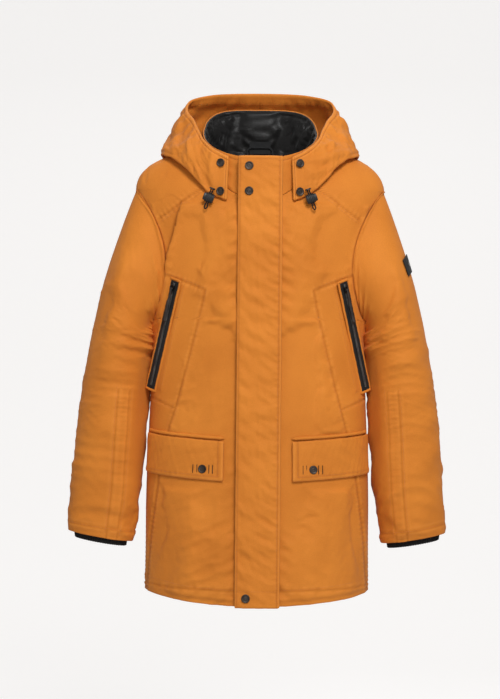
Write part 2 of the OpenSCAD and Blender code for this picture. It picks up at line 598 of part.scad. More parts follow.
left_front_panel();
right_front_panel();
back_panel();
back_yoke();
left_yoke();
right_yoke();
left_sleeve_cap();
right_sleeve_cap();
hem_facing();
body_wadding();
left_front_lining();
right_front_lining();
back_lining();
collar_shell();
collar_wadding();
collar_lining();
neck_label();
hanger_loop();
main_zip_tapes();
main_zip_teeth();
main_slider();
main_pull();
front_snap_studs();
storm_flap();
storm_flap_snap_caps();
chest_pocket_bags();
left_chest_zip();
right_chest_zip();
left_chest_slider();
right_chest_slider();
left_chest_pull();
right_chest_pull();
cargo_pocket_bags();
pocket_welts();
pocket_snap_studs();
left_pocket_flap();
right_pocket_flap();
left_flap_snap_cap();
right_flap_snap_cap();
left_sleeve();
right_sleeve();
left_sleeve_lining();
right_sleeve_lining();
left_rib_cuff();
right_rib_cuff();
sleeve_badge();
hood_snap_studs();
hood_shell();
hood_neck_panel();
hood_lining();
hood_snap_caps();
hood_eyelets();
left_drawcord();
right_drawcord();
left_cord_lock();
right_cord_lock();
left_lock_button();
right_lock_button();
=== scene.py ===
import math

import bpy
import numpy as np
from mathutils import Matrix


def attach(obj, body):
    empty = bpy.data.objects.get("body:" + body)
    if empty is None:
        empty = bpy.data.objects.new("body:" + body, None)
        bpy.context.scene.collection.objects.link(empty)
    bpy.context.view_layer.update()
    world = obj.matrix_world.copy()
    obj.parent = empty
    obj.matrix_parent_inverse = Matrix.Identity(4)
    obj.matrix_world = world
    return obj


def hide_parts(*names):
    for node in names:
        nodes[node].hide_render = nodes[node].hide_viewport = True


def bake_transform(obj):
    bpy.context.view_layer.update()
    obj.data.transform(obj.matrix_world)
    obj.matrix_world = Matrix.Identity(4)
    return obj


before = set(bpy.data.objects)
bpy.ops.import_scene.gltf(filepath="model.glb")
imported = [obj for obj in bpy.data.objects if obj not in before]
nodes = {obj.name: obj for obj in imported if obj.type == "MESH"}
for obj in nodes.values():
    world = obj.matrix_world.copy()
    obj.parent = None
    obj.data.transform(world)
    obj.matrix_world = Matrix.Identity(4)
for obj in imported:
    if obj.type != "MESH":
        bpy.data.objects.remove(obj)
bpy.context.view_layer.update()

scene = bpy.context.scene
metre = 0.001          # shapes are worked out in millimetres
midY = -62.0           # the side seams' plane


# Small sums used all over
def mix(a, b, k):
    return a + (b - a) * k


# 3k squared less 2k cubed, held between 0 and 1
def ease(k):
    k = np.clip(k, 0, 1)
    return k * k * (3 - 2 * k)


# exp of minus (distance over width) squared
def bell(distance, width):
    return np.exp(-(distance / width) ** 2)


def unit(v):
    return v / np.maximum(np.linalg.norm(v, axis=-1, keepdims=True), 1e-9)


def stack(*parts):
    return np.stack(np.broadcast_arrays(*parts), axis=-1).astype(float)


# Catmull-Rom curve through the points, with its ends repeated, at k from 0 to 1
def through(points, k):
    p = np.asarray(points, float)
    last = len(p) - 1
    s = np.clip(k, 0, 1) * last
    i = np.minimum(np.floor(s).astype(int), last - 1)
    f = (s - i)[..., None] if p.ndim > 1 else s - i
    a, b, c, d = p[np.maximum(i - 1, 0)], p[i], p[i + 1], p[np.minimum(i + 2, last)]
    return b + 0.5 * f * ((c - a) + f * ((2 * a - 5 * b + 4 * c - d) + f * (3 * (b - c) + d - a)))


# Sum of plane waves over (a, b): each has its own length, direction and phase, and the sum is about -1 to 1
def ripple(a, b, seed, count, shortest, longest, lean=0.0, spread=0.5):
    dice = np.random.default_rng(seed)
    total = np.zeros(np.broadcast(a, b).shape)
    for _ in range(count):
        length = dice.uniform(shortest, longest)
        angle = lean + dice.uniform(-spread, spread)
        phase = dice.uniform(0, 2 * math.pi)
        total = total + np.sin(2 * math.pi * (a * math.cos(angle) + b * math.sin(angle)) / length + phase)
    return total / math.sqrt(count)


# Paper-like creases: 0.6 less the size of a ripple has sharp crests, and a second, wide ripple gathers
# them
def crumple(a, b, seed, shortest, longest, lean=0.0, spread=0.5):
    gather = ease(0.5 + 0.55 * ripple(a, b, seed + 500, 5, 110, 240))
    return (0.6 - np.abs(ripple(a, b, seed, 4, shortest, longest, lean, spread))) * gather


# The same round a tube: whole numbers of waves in phi, so the ends of the turn meet
def tubeRipple(phi, along, seed, count, turns, shortest, longest):
    dice = np.random.default_rng(seed)
    total = np.zeros(np.broadcast(phi, along).shape)
    for _ in range(count):
        k = dice.integers(turns[0], turns[1] + 1) * dice.choice([-1, 1])
        length = dice.uniform(shortest, longest)
        total = total + np.sin(k * phi + 2 * math.pi * along / length + dice.uniform(0, 2 * math.pi))
    return total / math.sqrt(count)


# Distance from (x, z) to a run of straight pieces, and how far along it the nearest point lies
def lineDistance(x, z, points):
    best = np.full(np.broadcast(x, z).shape, 1e9)
    along = np.zeros(best.shape)
    walked = 0.0
    for (ax, az), (bx, bz) in zip(points[:-1], points[1:]):
        length = math.hypot(bx - ax, bz - az)
        k = np.clip(((x - ax) * (bx - ax) + (z - az) * (bz - az)) / length**2, 0, 1)
        d = np.hypot(x - ax - k * (bx - ax), z - az - k * (bz - az))
        near = d < best
        best = np.where(near, d, best)
        along = np.where(near, walked + k * length, along)
        walked += length
    return best, along / walked, walked


# A soft fold along a line: bell across it, a sine's half wave along it
def fold(x, z, points, height, width):
    d, k, _ = lineDistance(x, z, points)
    return height * bell(d, width) * np.sin(math.pi * np.clip(k, 0.02, 0.98)) ** 0.6


# Holds a fold's hollows above a floor, with no kink: floor times (1 - exp(d / floor)) below nought
def softFloor(d, deepest):
    return np.where(d < 0, -deepest * (1 - np.exp(np.minimum(d, 0) / deepest)), d)


# A sewn seam: a groove, a low roll each side and puckers that die away from it
def seam(x, z, points, depth=1.1, width=1.9, pucker=0.35, reach=11, spacing=9.5):
    d, k, length = lineDistance(x, z, points)
    wobble = np.sin(2 * math.pi * k * length / spacing + 1.7 * np.sin(k * length / 23))
    return -depth * bell(d, width) + 0.45 * depth * bell(d - 5.5, 3.0) + pucker * wobble * bell(d, reach)


# Meshes from grids
def gridNormals(p, closed=False, towards=None):
    du = np.roll(p, -1, 1) - np.roll(p, 1, 1) if closed else np.gradient(p, axis=1)
    dv = np.gradient(p, axis=0)
    n = unit(np.cross(du, dv))
    if towards is not None and np.mean(np.sum(n * (p - towards), -1)) < 0:
        n = -n
    return n


# Lengths walked along the rows and up the columns, in metres, for a weave that follows the cloth
def clothUv(p, closed=False):
    q = np.concatenate([p, p[:, :1]], 1) if closed else p
    u = np.zeros(q.shape[:2])
    v = np.zeros(q.shape[:2])
    u[:, 1:] = np.cumsum(np.linalg.norm(np.diff(q, axis=1), axis=-1), 1)
    v[1:] = np.cumsum(np.linalg.norm(np.diff(q, axis=0), axis=-1).mean(1))[:, None]
    u -= u[:, u.shape[1] // 2][:, None]
    return np.stack([u, v], -1) * metre


# Two skins on one grid, joined round their rims by a rounded edge: a closed sheet of cloth
def shellPart(outer, inner, closed=False, shade=None, rimRound=0.5):
    rows, cols = outer.shape[:2]
    count = rows * cols
    index = np.arange(count).reshape(rows, cols)
    wrapped = np.concatenate([index, index[:, :1]], 1) if closed else index
    quads = np.stack([wrapped[:-1, :-1], wrapped[:-1, 1:], wrapped[1:, 1:], wrapped[1:, :-1]],
                     -1).reshape(-1, 4)
    uv = clothUv(outer, closed)
    corner = np.stack([uv[:-1, :-1], uv[:-1, 1:], uv[1:, 1:], uv[1:, :-1]], 2).reshape(-1, 4, 2)
    if closed:
        loops = [(index[0], index[1]), (index[-1][::-1], index[-2][::-1])]
    else:
        around = np.concatenate([index[0, :-1], index[:-1, -1], index[-1, :0:-1], index[:0:-1, 0]])
        within = np.concatenate([index[1, :-1], index[:-1, -2], index[-2, :0:-1], index[:0:-1, 1]])
        loops = [(around, within)]
    o, i = outer.reshape(-1, 3), inner.reshape(-1, 3)
    verts, faces, uvs = [o, i], [quads, quads[:, ::-1] + count], [corner, corner[:, ::-1]]
    flatUv = uv[:, :cols].reshape(-1, 2)
    start = 2 * count
    for edge, behind in loops:
        thick = np.linalg.norm(o[edge] - i[edge], axis=-1, keepdims=True)
        verts.append((o[edge] + i[edge]) / 2 + unit(o[edge] - o[behind]) * thick * rimRound)
        rim = start + np.arange(len(edge))
        nextEdge, nextRim = np.roll(edge, -1), np.roll(rim, -1)
        faces += [np.stack([nextEdge, edge, rim, nextRim], -1),
                  np.stack([nextRim, rim, edge + count, nextEdge + count], -1)]
        a, b = flatUv[edge], flatUv[np.roll(edge, -1)]
        uvs += [np.stack([b, a, a, b], 1), np.stack([b, a, a, b], 1)]
        start += len(edge)
    verts, faces, uvs = np.concatenate(verts), np.concatenate(faces), np.concatenate(uvs)
    first = np.cross(o[index[0, 1]] - o[index[0, 0]], o[index[1, 0]] - o[index[0, 0]])
    normal = gridNormals(outer, closed)
    if np.mean(np.sum(normal * (outer - inner), -1)) < 0:
        faces, uvs = faces[:, ::-1], uvs[:, ::-1]
    # shade: painted highlight above nought and painted shade below nought, one value per outer vertex
    tone = np.zeros(len(verts))
    if shade is not None:
        tone[:count] = shade.ravel()
    return dict(v=verts, f=faces, uv=uvs, shade=tone)


# A rod swept along a path, with its own width and depth at each point; its ends close to a point
def rodPart(path, wide, deep, sides=10, up=(0, -1, 0)):
    path = np.asarray(path, float)
    wide = np.broadcast_to(wide, len(path))[:, None, None]
    deep = np.broadcast_to(deep, len(path))[:, None, None]
    t = unit(np.gradient(path, axis=0))
    side = unit(np.cross(t, np.broadcast_to(np.asarray(up, float), t.shape)))
    top = np.cross(side, t)
    a = (2 * math.pi * np.arange(sides) / sides)[None, :]
    ring = path[:, None] + wide * np.cos(a)[..., None] * side[:, None] + deep * np.sin(a)[...,
            None] * top[:, None]
    rows = len(path)
    index = np.arange(rows * sides).reshape(rows, sides)
    w = np.concatenate([index, index[:, :1]], 1)
    quads = np.stack([w[:-1, :-1], w[:-1, 1:], w[1:, 1:], w[1:, :-1]], -1).reshape(-1, 4)
    run = np.concatenate([[0], np.cumsum(np.linalg.norm(np.diff(path, axis=0), axis=-1))]) * metre
    girth = 2 * math.pi * float(np.mean(wide)) * metre
    gu, gv = np.meshgrid(np.arange(sides + 1) / sides * girth, run)
    g = np.stack([gu, gv], -1)
    uvs = np.stack([g[:-1, :-1], g[:-1, 1:], g[1:, 1:], g[1:, :-1]], 2).reshape(-1, 4, 2)
    ends = np.array([rows * sides, rows * sides + 1])
    caps = np.concatenate([
        np.stack([w[0, 1:], w[0, :-1], np.full(sides, ends[0]), np.full(sides, ends[0])], -1),
        np.stack([w[-1, :-1], w[-1, 1:], np.full(sides, ends[1]), np.full(sides, ends[1])], -1)])
    verts = np.concatenate([ring.reshape(-1, 3), path[:1], path[-1:]])
    faces = np.concatenate([quads, caps])
    uvs = np.concatenate([uvs, np.zeros((2 * sides, 4, 2))])
    normal = np.cross(ring[0, 1] - ring[0, 0], ring[1, 0] - ring[0, 0])
    if normal @ (ring[0, 0] - path[0]) < 0:
        faces, uvs = faces[:, ::-1], uvs[:, ::-1]
    return dict(v=verts, f=faces, uv=uvs, shade=np.zeros(len(verts)))


# A profile of (radius, height) turned about the axis n at the centre c; the first and last radius are 0
def turnedPart(profile, c, n, sides=40):
    profile = np.asarray(profile, float)
    n = unit(np.asarray(n, float))
    side = unit(np.cross(n, [0.0, 0.0, 1.0] if abs(n[2]) < 0.9 else [1.0, 0.0, 0.0]))
    up = np.cross(n, side)
    a = 2 * math.pi * np.arange(sides) / sides
    inner = profile[1:-1]
    ring = (np.asarray(c, float) + inner[:, 1, None, None] * n
            + inner[:, 0, None, None] * (np.cos(a)[:, None] * side + np.sin(a)[:, None] * up))
    rows = len(inner)
    index = np.arange(rows * sides).reshape(rows, sides)
    w = np.concatenate([index, index[:, :1]], 1)
    quads = np.stack([w[:-1, :-1], w[:-1, 1:], w[1:, 1:], w[1:, :-1]], -1).reshape(-1, 4)
    top, foot = rows * sides, rows * sides + 1
    caps = np.concatenate([
        np.stack([w[0, 1:], w[0, :-1], np.full(sides, top), np.full(sides, top)], -1),
        np.stack([w[-1, :-1], w[-1, 1:], np.full(sides, foot), np.full(sides, foot)], -1)])
    verts = np.concatenate([ring.reshape(-1, 3), [c + profile[0, 1] * n], [c + profile[-1, 1] * n]])
    faces = np.concatenate([quads, caps])
    q = ring[:, 0]
    outward = np.cross(ring[0, 1] - ring[0, 0], ring[1, 0] - ring[0, 0])
    if outward @ (n if profile[0, 1] > profile[-1, 1] else -n) < 0:
        faces = faces[:, ::-1]
    return dict(v=verts, f=faces, uv=np.zeros((len(faces), 4, 2)), shade=np.zeros(len(verts)))


# Joins parts into one object; a face whose last two corners agree is a triangle
def makePiece(name, parts, material, smooth=True):
    verts = np.concatenate([p["v"] for p in parts]) * metre
    shift = np.cumsum([0] + [len(p["v"]) for p in parts[:-1]])
    faces = np.concatenate([p["f"] + s for p, s in zip(parts, shift)])
    uvs = np.concatenate([p["uv"] for p in parts])
    shade = np.concatenate([p["shade"] for p in parts])
    same = np.stack([faces[:, k] == faces[:, (k + 1) % 4] for k in range(4)], 1)
    keep = ~same
    sizes = keep.sum(1)
    mesh = bpy.data.meshes.new(name)
    mesh.vertices.add(len(verts))
    mesh.vertices.foreach_set("co", verts.ravel())
    mesh.loops.add(int(sizes.sum()))
    mesh.loops.foreach_set("vertex_index", faces[keep].astype(np.int32))
    mesh.polygons.add(len(faces))
    mesh.polygons.foreach_set("loop_start", np.concatenate([[0], np.cumsum(sizes)[:-1]]).astype(np.int32))
    layer = mesh.uv_layers.new(name="cloth")
    layer.data.foreach_set("uv", uvs[keep].ravel().astype(np.float32))
    mesh.update(calc_edges=True)
    mesh.polygons.foreach_set("use_smooth", np.full(len(faces), smooth))
    # per-vertex painted highlight (above nought) and painted shade (below nought), read by the cloth material
    attribute = mesh.attributes.new("shade", "FLOAT", "POINT")
    attribute.data.foreach_set("value", shade.astype(np.float32))
    mesh.validate()
    mesh.materials.append(material)
    piece = bpy.data.objects.new(name, mesh)
    scene.collection.objects.link(piece)
    return piece


# Reads a grid at (u, v), both 0 to 1, in straight steps between its points
def readGrid(p, u, v):
    rows, cols = p.shape[:2]
    x, y = np.clip(u, 0, 1) * (cols - 1), np.clip(v, 0, 1) * (rows - 1)
    i, j = np.minimum(x.astype(int), cols - 2), np.minimum(y.astype(int), rows - 2)
    fx, fy = (x - i)[..., None], (y - j)[..., None]
    return mix(mix(p[j, i], p[j, i + 1], fx), mix(p[j + 1, i], p[j + 1, i + 1], fx), fy)


# Cloth sewn down along its edges and cut a few hundredths too large buckles into folds: a coarse copy of
# the grid is
# simulated, and how far it moved along the normals comes back on the fine grid, in millimetres
def clothFolds(p, n, closed=False, grow=0.03, pressure=0.3, cap=6.0, coarse=2, frames=20, stiff=0.4):
    rows, cols = p.shape[:2]
    j = np.unique(np.round(np.linspace(0, rows - 1, rows // coarse)).astype(int))
    i = np.arange(0, cols, coarse) if closed else np.unique(np.round(np.linspace(0, cols - 1,
            cols // coarse)).astype(int))
    q = p[j][:, i]
    index = np.arange(len(j) * len(i)).reshape(len(j), len(i))
    w = np.concatenate([index, index[:, :1]], 1) if closed else index
    quads = np.stack([w[:-1, :-1], w[:-1, 1:], w[1:, 1:], w[1:, :-1]], -1).reshape(-1, 4)
    if np.mean(np.sum(gridNormals(q, closed) * n[j][:, i], -1)) < 0:
        quads = quads[:, ::-1]
    mesh = bpy.data.meshes.new("trial")
    mesh.from_pydata((q.reshape(-1, 3) * metre).tolist(), [], quads.tolist())
    trial = bpy.data.objects.new("trial", mesh)
    scene.collection.objects.link(trial)
    pinned = [index[0], index[1], index[-1], index[-2]]
    if not closed:
        pinned += [index[:, 0], index[:, -1]]
    pinned = np.unique(np.concatenate(pinned))
    trial.vertex_groups.new(name="sewn").add(pinned.tolist(), 1.0, "REPLACE")
    cloth = trial.modifiers.new("cloth", "CLOTH")
    cloth.point_cache.frame_end = frames
    cloth.settings.vertex_group_mass = "sewn"
    cloth.settings.effector_weights.gravity = 0
    cloth.settings.quality = 5
    cloth.settings.mass = 0.3
    cloth.settings.tension_stiffness = 15
    cloth.settings.compression_stiffness = 15
    cloth.settings.shear_stiffness = 5
    cloth.settings.bending_stiffness = stiff
    cloth.settings.shrink_min = -grow
    cloth.settings.use_pressure = pressure != 0
    cloth.settings.uniform_pressure_force = pressure
    for frame_ in range(1, frames + 1):
        scene.frame_set(frame_)
    made = trial.evaluated_get(bpy.context.evaluated_depsgraph_get()).to_mesh()
    co = np.empty(len(q.reshape(-1, 3)) * 3)
    made.vertices.foreach_get("co", co)
    move = np.sum((co.reshape(q.shape) / metre - q) * n[j][:, i], -1)
    move = np.nan_to_num(cap * np.tanh(move / cap))
    scene.frame_set(1)
    bpy.data.objects.remove(trial)
    bpy.data.meshes.remove(mesh)
    if closed:
        move = np.concatenate([move[:, -2:], move, move[:, :3]], 1)
        spots = (np.arange(cols) / coarse + 2) / (move.shape[1] - 1)
    else:
        spots = np.interp(np.arange(cols), i, np.arange(len(i))) / (len(i) - 1)
    tall = through(move, np.interp(np.arange(rows), j, np.arange(len(j))) / (len(j) - 1))
    return through(tall.T, spots).T


thread = dict(long=2.7, pitch=4.0, thick=0.42, lift=0.12)


# One long bead a stitch: ten corners and twelve faces, set along a line on a grid at an even pitch
def stitchParts(p, n, lines, pitch=None):
    parts = []
    bead = np.array([[-0.5, 0, 0]] + [[s * 0.3, math.cos(a), math.sin(a)] for s in (-1, 1)
                    for a in (0, math.pi / 2, math.pi, 1.5 * math.pi)] + [[0.5, 0, 0]])
    faces = [[0, 1 + (k + 1) % 4, 1 + k, 1 + k] for k in range(4)]
    faces += [[1 + k, 1 + (k + 1) % 4, 5 + (k + 1) % 4, 5 + k] for k in range(4)]
    faces += [[9, 5 + k, 5 + (k + 1) % 4, 5 + (k + 1) % 4] for k in range(4)]
    faces = np.array(faces)
    for u, v in lines:
        q, m = readGrid(p, u, v), readGrid(n, u, v)
        run = np.concatenate([[0], np.cumsum(np.linalg.norm(np.diff(q, axis=0), axis=-1))])
        if run[-1] < 8:
            continue
        at = np.arange(2.0, run[-1] - 2.0, pitch or thread["pitch"])
        c = np.stack([np.interp(at, run, q[:, k]) for k in range(3)], -1)
        ahead = np.stack([np.interp(at + 0.8, run, q[:, k]) for k in range(3)], -1)
        normal = unit(np.stack([np.interp(at, run, m[:, k]) for k in range(3)], -1))
        t = unit(ahead - c)
        b = np.cross(t, normal)
        verts = (c[:, None] + normal[:, None] * thread["lift"]
                 + bead[None, :, :1] * thread["long"] * t[:, None]
                 + bead[None, :, 1:2] * thread["thick"] * b[:, None]
                 + bead[None, :, 2:] * thread["thick"] * 0.7 * normal[:, None])
        many = faces[None] + 10 * np.arange(len(at))[:, None, None]
        parts.append(dict(v=verts.reshape(-1, 3), f=many.reshape(-1, 4),
                          uv=np.zeros((12 * len(at), 4, 2)), shade=np.zeros(10 * len(at))))
    return parts


# Everything on the wearer's right is the left one with x turned round
def mirrored(part):
    return dict(v=part["v"] * [-1, 1, 1], f=part["f"][:, ::-1], uv=part["uv"][:, ::-1], shade=part["shade"])


# Camera
cameraView = dict(back=3.3, side=-0.0174, height=-0.42, roll=-0.5, halfTall=349.5 * 0.00205)
lens = bpy.data.cameras.new("camera")
lens.sensor_fit = "VERTICAL"
lens.angle = 2 * math.atan(cameraView["halfTall"] / cameraView["back"])
camera = bpy.data.objects.new("camera", lens)
camera.location = (cameraView["side"], midY * metre - cameraView["back"], cameraView["height"])
camera.rotation_euler = (math.pi / 2, math.radians(cameraView["roll"]), 0)
scene.collection.objects.link(camera)
scene.camera = camera
print("camera placed")

# Materials


def addNode(tree, kind, props=None, inputs=None):
    made = tree.nodes.new(kind)
    for key, value in (props or {}).items():
        setattr(made, key, value)
    for key, value in (inputs or {}).items():
        if isinstance(value, bpy.types.NodeSocket):
            tree.links.new(value, made.inputs[key])
        else:
            made.inputs[key].default_value = value
    return made


def calc(tree, operation, a, b=0.0, c=0.0):
    return addNode(tree, "ShaderNodeMath", dict(operation=operation), {0: a, 1: b, 2: c}).outputs[0]


def newMaterial(name):
    material = bpy.data.materials.new(name)
    material.use_nodes = True
    tree = material.node_tree
    return material, tree, tree.nodes["Principled BSDF"]


def linear(r, g, b):
    return tuple(((v / 255 + 0.055) / 1.055) ** 2.4 if v > 10 else v / 255 / 12.92
                 for v in (r, g, b)) + (1.0,)


# Woven or knitted cloth: colour drifts with two noises, the weave is two crossed waves, small creases are a
# noise bump
def clothMaterial(name, light, dark, thread=0.0007, rough=0.88, sheen=0.12, crease=0.45, coords="UV",
                  paintedHighlightShade=None,
                  weaveDepth=0.35):
    material, tree, shader = newMaterial(name)
    place = addNode(tree, "ShaderNodeTexCoord").outputs["Object"]
    follow = addNode(tree, "ShaderNodeTexCoord").outputs["UV"] if coords == "UV" else place
    drift = addNode(tree, "ShaderNodeTexNoise", None,
                    {"Vector": place, "Scale": 9.0, "Detail": 5.0}).outputs[0]
    fleck = addNode(tree, "ShaderNodeTexNoise", None,
                    {"Vector": follow, "Scale": 420.0, "Detail": 3.0}).outputs[0]
    tone = calc(tree, "ADD", calc(tree, "MULTIPLY", drift, 0.65), calc(tree, "MULTIPLY", fleck, 0.35))
    blend = addNode(tree, "ShaderNodeMapRange", None,
                    {"Value": tone, "From Min": 0.36, "From Max": 0.64}).outputs[0]
    colour = addNode(tree, "ShaderNodeMix", dict(data_type="RGBA"),
                     {0: blend, 6: dark, 7: light}).outputs[2]
    # painted highlight and painted shade: the mesh's 'shade' attribute mixes towards the first colour above
    # nought (painted highlight on seam rolls and edges) and towards the second below nought (painted shade in
    # seam grooves and creases)
    if paintedHighlightShade:
        paintedAmount = addNode(tree, "ShaderNodeAttribute", dict(attribute_name="shade")).outputs["Fac"]
        lift = addNode(tree, "ShaderNodeMapRange", None,
                       {"Value": paintedAmount, "From Min": 0.0, "From Max": 1.0}).outputs[0]
        sink = addNode(tree, "ShaderNodeMapRange", None,
                       {"Value": paintedAmount, "From Min": 0.0, "From Max": -1.0}).outputs[0]
        colour = addNode(tree, "ShaderNodeMix", dict(data_type="RGBA"),
                         {0: lift, 6: colour, 7: paintedHighlightShade[0]}).outputs[2]
        colour = addNode(tree, "ShaderNodeMix", dict(data_type="RGBA"),
                         {0: sink, 6: colour, 7: paintedHighlightShade[1]}).outputs[2]
    tree.links.new(colour, shader.inputs["Base Color"])
    scale = 2 * math.pi / (20 * thread)
    waves = [addNode(tree, "ShaderNodeTexWave", dict(bands_direction=axis),
                     {"Vector": follow, "Scale": scale, "Distortion": 0.6, "Detail": 1.0}).outputs["Fac"]
             for axis in ("X", "Y")]
    weave = calc(tree, "MULTIPLY", waves[0], waves[1])
    roughness = addNode(tree, "ShaderNodeMapRange", None,
                        {"Value": fleck, "To Min": rough - 0.1,
                         "To Max": min(1.0, rough + 0.08)}).outputs[0]
    tree.links.new(roughness, shader.inputs["Roughness"])
    small = addNode(tree, "ShaderNodeTexNoise", None,
                    {"Vector": place, "Scale": 95.0, "Detail": 4.0}).outputs[0]
    first = addNode(tree, "ShaderNodeBump", None, {"Strength": crease, "Distance": 0.0016, "Height": small})
    second = addNode(tree, "ShaderNodeBump", None,
                     {"Strength": weaveDepth, "Distance": 0.00025, "Height": weave,
                                                    "Normal": first.outputs[0]})
    tree.links.new(second.outputs[0], shader.inputs["Normal"])
    shader.inputs["Sheen Weight"].default_value = sheen
    shader.inputs["Sheen Roughness"].default_value = 0.5
    shader.inputs["Specular IOR Level"].default_value = 0.15
    return material


# Metal, rubber or moulded plastic: roughness drifts with noise, fine grain as bump, edges of the colour by
# a second noise
def hardMaterial(name, light, dark, metallic=0.0, rough=0.4, grain=600.0, depth=0.15, specular=0.5):
    material, tree, shader = newMaterial(name)
    place = addNode(tree, "ShaderNodeTexCoord").outputs["Object"]
    drift = addNode(tree, "ShaderNodeTexNoise", None,
                    {"Vector": place, "Scale": 60.0, "Detail": 6.0}).outputs[0]
    fine = addNode(tree, "ShaderNodeTexNoise", None,
                   {"Vector": place, "Scale": grain, "Detail": 3.0}).outputs[0]
    blend = addNode(tree, "ShaderNodeMapRange", None,
                    {"Value": drift, "From Min": 0.35, "From Max": 0.65}).outputs[0]
    colour = addNode(tree, "ShaderNodeMix", dict(data_type="RGBA"),
                     {0: blend, 6: dark, 7: light}).outputs[2]
    tree.links.new(colour, shader.inputs["Base Color"])
    roughness = addNode(tree, "ShaderNodeMapRange", None,
                        {"Value": drift, "To Min": rough - 0.1, "To Max": rough + 0.14}).outputs[0]
    tree.links.new(roughness, shader.inputs["Roughness"])
    bump = addNode(tree, "ShaderNodeBump", None, {"Strength": depth, "Distance": 0.0003, "Height": fine})
    tree.links.new(bump.outputs[0], shader.inputs["Normal"])
    shader.inputs["Metallic"].default_value = metallic
    shader.inputs["Specular IOR Level"].default_value = specular
    return material


ochreLight, ochreDark = linear(219, 133, 48), linear(203, 119, 40)
# painted highlight colour and painted shade colour, laid along seams, edges and creases through the 'shade'
# attribute
seamHighlightAndShade = (linear(230, 146, 62), linear(172, 94, 26))
shellCloth = clothMaterial("shell_cloth", ochreLight, ochreDark, rough=0.68, sheen=0.04, crease=0.25,
                           paintedHighlightShade=seamHighlightAndShade)
shellInside = clothMaterial("shell_cloth_inside", linear(212, 128, 46), linear(196, 114, 38), thread=0.0006)
liningCloth = clothMaterial("lining_nylon", linear(30, 29, 28), linear(17, 16, 16), thread=0.0003,
                            rough=0.42,
                            sheen=0.1, crease=0.2, weaveDepth=0.1)
ribKnit = clothMaterial("rib_knit", linear(36, 34, 33), linear(17, 16, 16), thread=0.0016, rough=0.9,
                        crease=0.2)
zipTape = clothMaterial("zip_tape", linear(34, 33, 33), linear(18, 18, 18), thread=0.0009, rough=0.8,
                        coords="Object")
pocketCloth = clothMaterial("pocket_cloth", linear(120, 112, 100), linear(96, 90, 82), coords="Object")
labelCloth = clothMaterial("label_tape", linear(30, 30, 31), linear(16, 16, 17), thread=0.0005, rough=0.6,
                           coords="Object")
cordBraid = clothMaterial("cord_braid", linear(34, 33, 32), linear(14, 14, 14), thread=0.0011, rough=0.75,
                          weaveDepth=0.8)
threadMat = clothMaterial("sewing_thread", linear(214, 128, 48), linear(186, 102, 32), thread=0.0004,
                          coords="Object", sheen=0.2)
darkThread = clothMaterial("dark_thread", linear(58, 40, 26), linear(36, 24, 15), thread=0.0004,
                           coords="Object")
gunmetal = hardMaterial("gunmetal", linear(86, 76, 69), linear(50, 43, 39), metallic=0.7, rough=0.48,
                        depth=0.08)
zipMetal = hardMaterial("zip_metal", linear(58, 56, 55), linear(30, 29, 29), metallic=0.8, rough=0.35)
zipCoil = hardMaterial("zip_coil", linear(112, 108, 104), linear(66, 64, 62), rough=0.3)
pullRubber = hardMaterial("pull_rubber", linear(58, 55, 53), linear(34, 33, 32), rough=0.45, grain=900.0)
lockPlastic = hardMaterial("lock_plastic", linear(34, 33, 33), linear(16, 16, 16), rough=0.42)
badgeRubber = hardMaterial("badge_rubber", linear(40, 39, 38), linear(20, 20, 20), rough=0.5)
badgeMark = hardMaterial("badge_mark", linear(150, 148, 144), linear(112, 110, 106), rough=0.5)
carried = dict(main_zip_tapes=zipTape, main_zip_teeth=zipMetal, main_slider=zipMetal, main_pull=pullRubber,
               front_snap_studs=gunmetal, pocket_snap_studs=gunmetal, hood_snap_studs=gunmetal,
               chest_pocket_bags=pocketCloth, cargo_pocket_bags=pocketCloth, neck_label=labelCloth,
               hanger_loop=labelCloth, left_chest_slider=zipMetal, right_chest_slider=zipMetal,
               sleeve_badge=badgeRubber, hood_eyelets=gunmetal, left_cord_lock=lockPlastic,
               right_cord_lock=lockPlastic, left_lock_button=lockPlastic, right_lock_button=lockPlastic)
for name, material in carried.items():
    slots = nodes[name].material_slots
    if not slots:
        nodes[name].data.materials.append(material)
    for one in slots:
        one.material = material
print("materials made")

# Drawcord loops: they come first, because their room is settled in the frame
drawcord = dict(eyelet=(95, midY - 111, -103), tilt=20, radius=1.25, rings=90, sides=10,
                route=[(-1.9, 0), (-1.9, -6), (-1.9, -14), (-1.9, -22), (-1.9, -29), (-2.6, -34),
                       (-2.6, -38),
                       (0, -41), (2.6, -38), (2.6, -34), (1.9, -29), (1.9, -22), (1.9, -14), (1.9, -6),
                       (1.9, 0)])


def cordPath(side):
    run = through(drawcord["route"], np.linspace(0, 1, drawcord["rings"]))
    tilt = math.radians(drawcord["tilt"])
    x = run[:, 0] * math.cos(tilt) - run[:, 1] * math.sin(tilt) * 1
    z = run[:, 0] * math.sin(tilt) + run[:, 1] * math.cos(tilt)
    path = stack(x, 0 * x, z) + np.array(drawcord["eyelet"])
    return path * [side, 1, 1]


for side, word in ((1, "left"), (-1, "right")):
    path = cordPath(side)
    braid = drawcord["radius"] * (1 + 0.05 * np.sin(np.arange(len(path)) * 2.1))
    cord = makePiece(f"{word}_hood_cord", [rodPart(path, braid, braid, drawcord["sides"])], cordBraid)
    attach(cord, "hood")
    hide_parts(f"{word}_drawcord")
print("cords made")

# The body's outer surface
coat = dict(hemZ=-925, hemLift=16, armZ=-360, tipZ=-95, neckZ=-15, frontNeckZ=-124, chestHalf=216,
            hemHalf=228,
            tipHalf=254, neckHalf=122, frontDepth=140, backDepth=126, lean=0.0384, step=3.1)


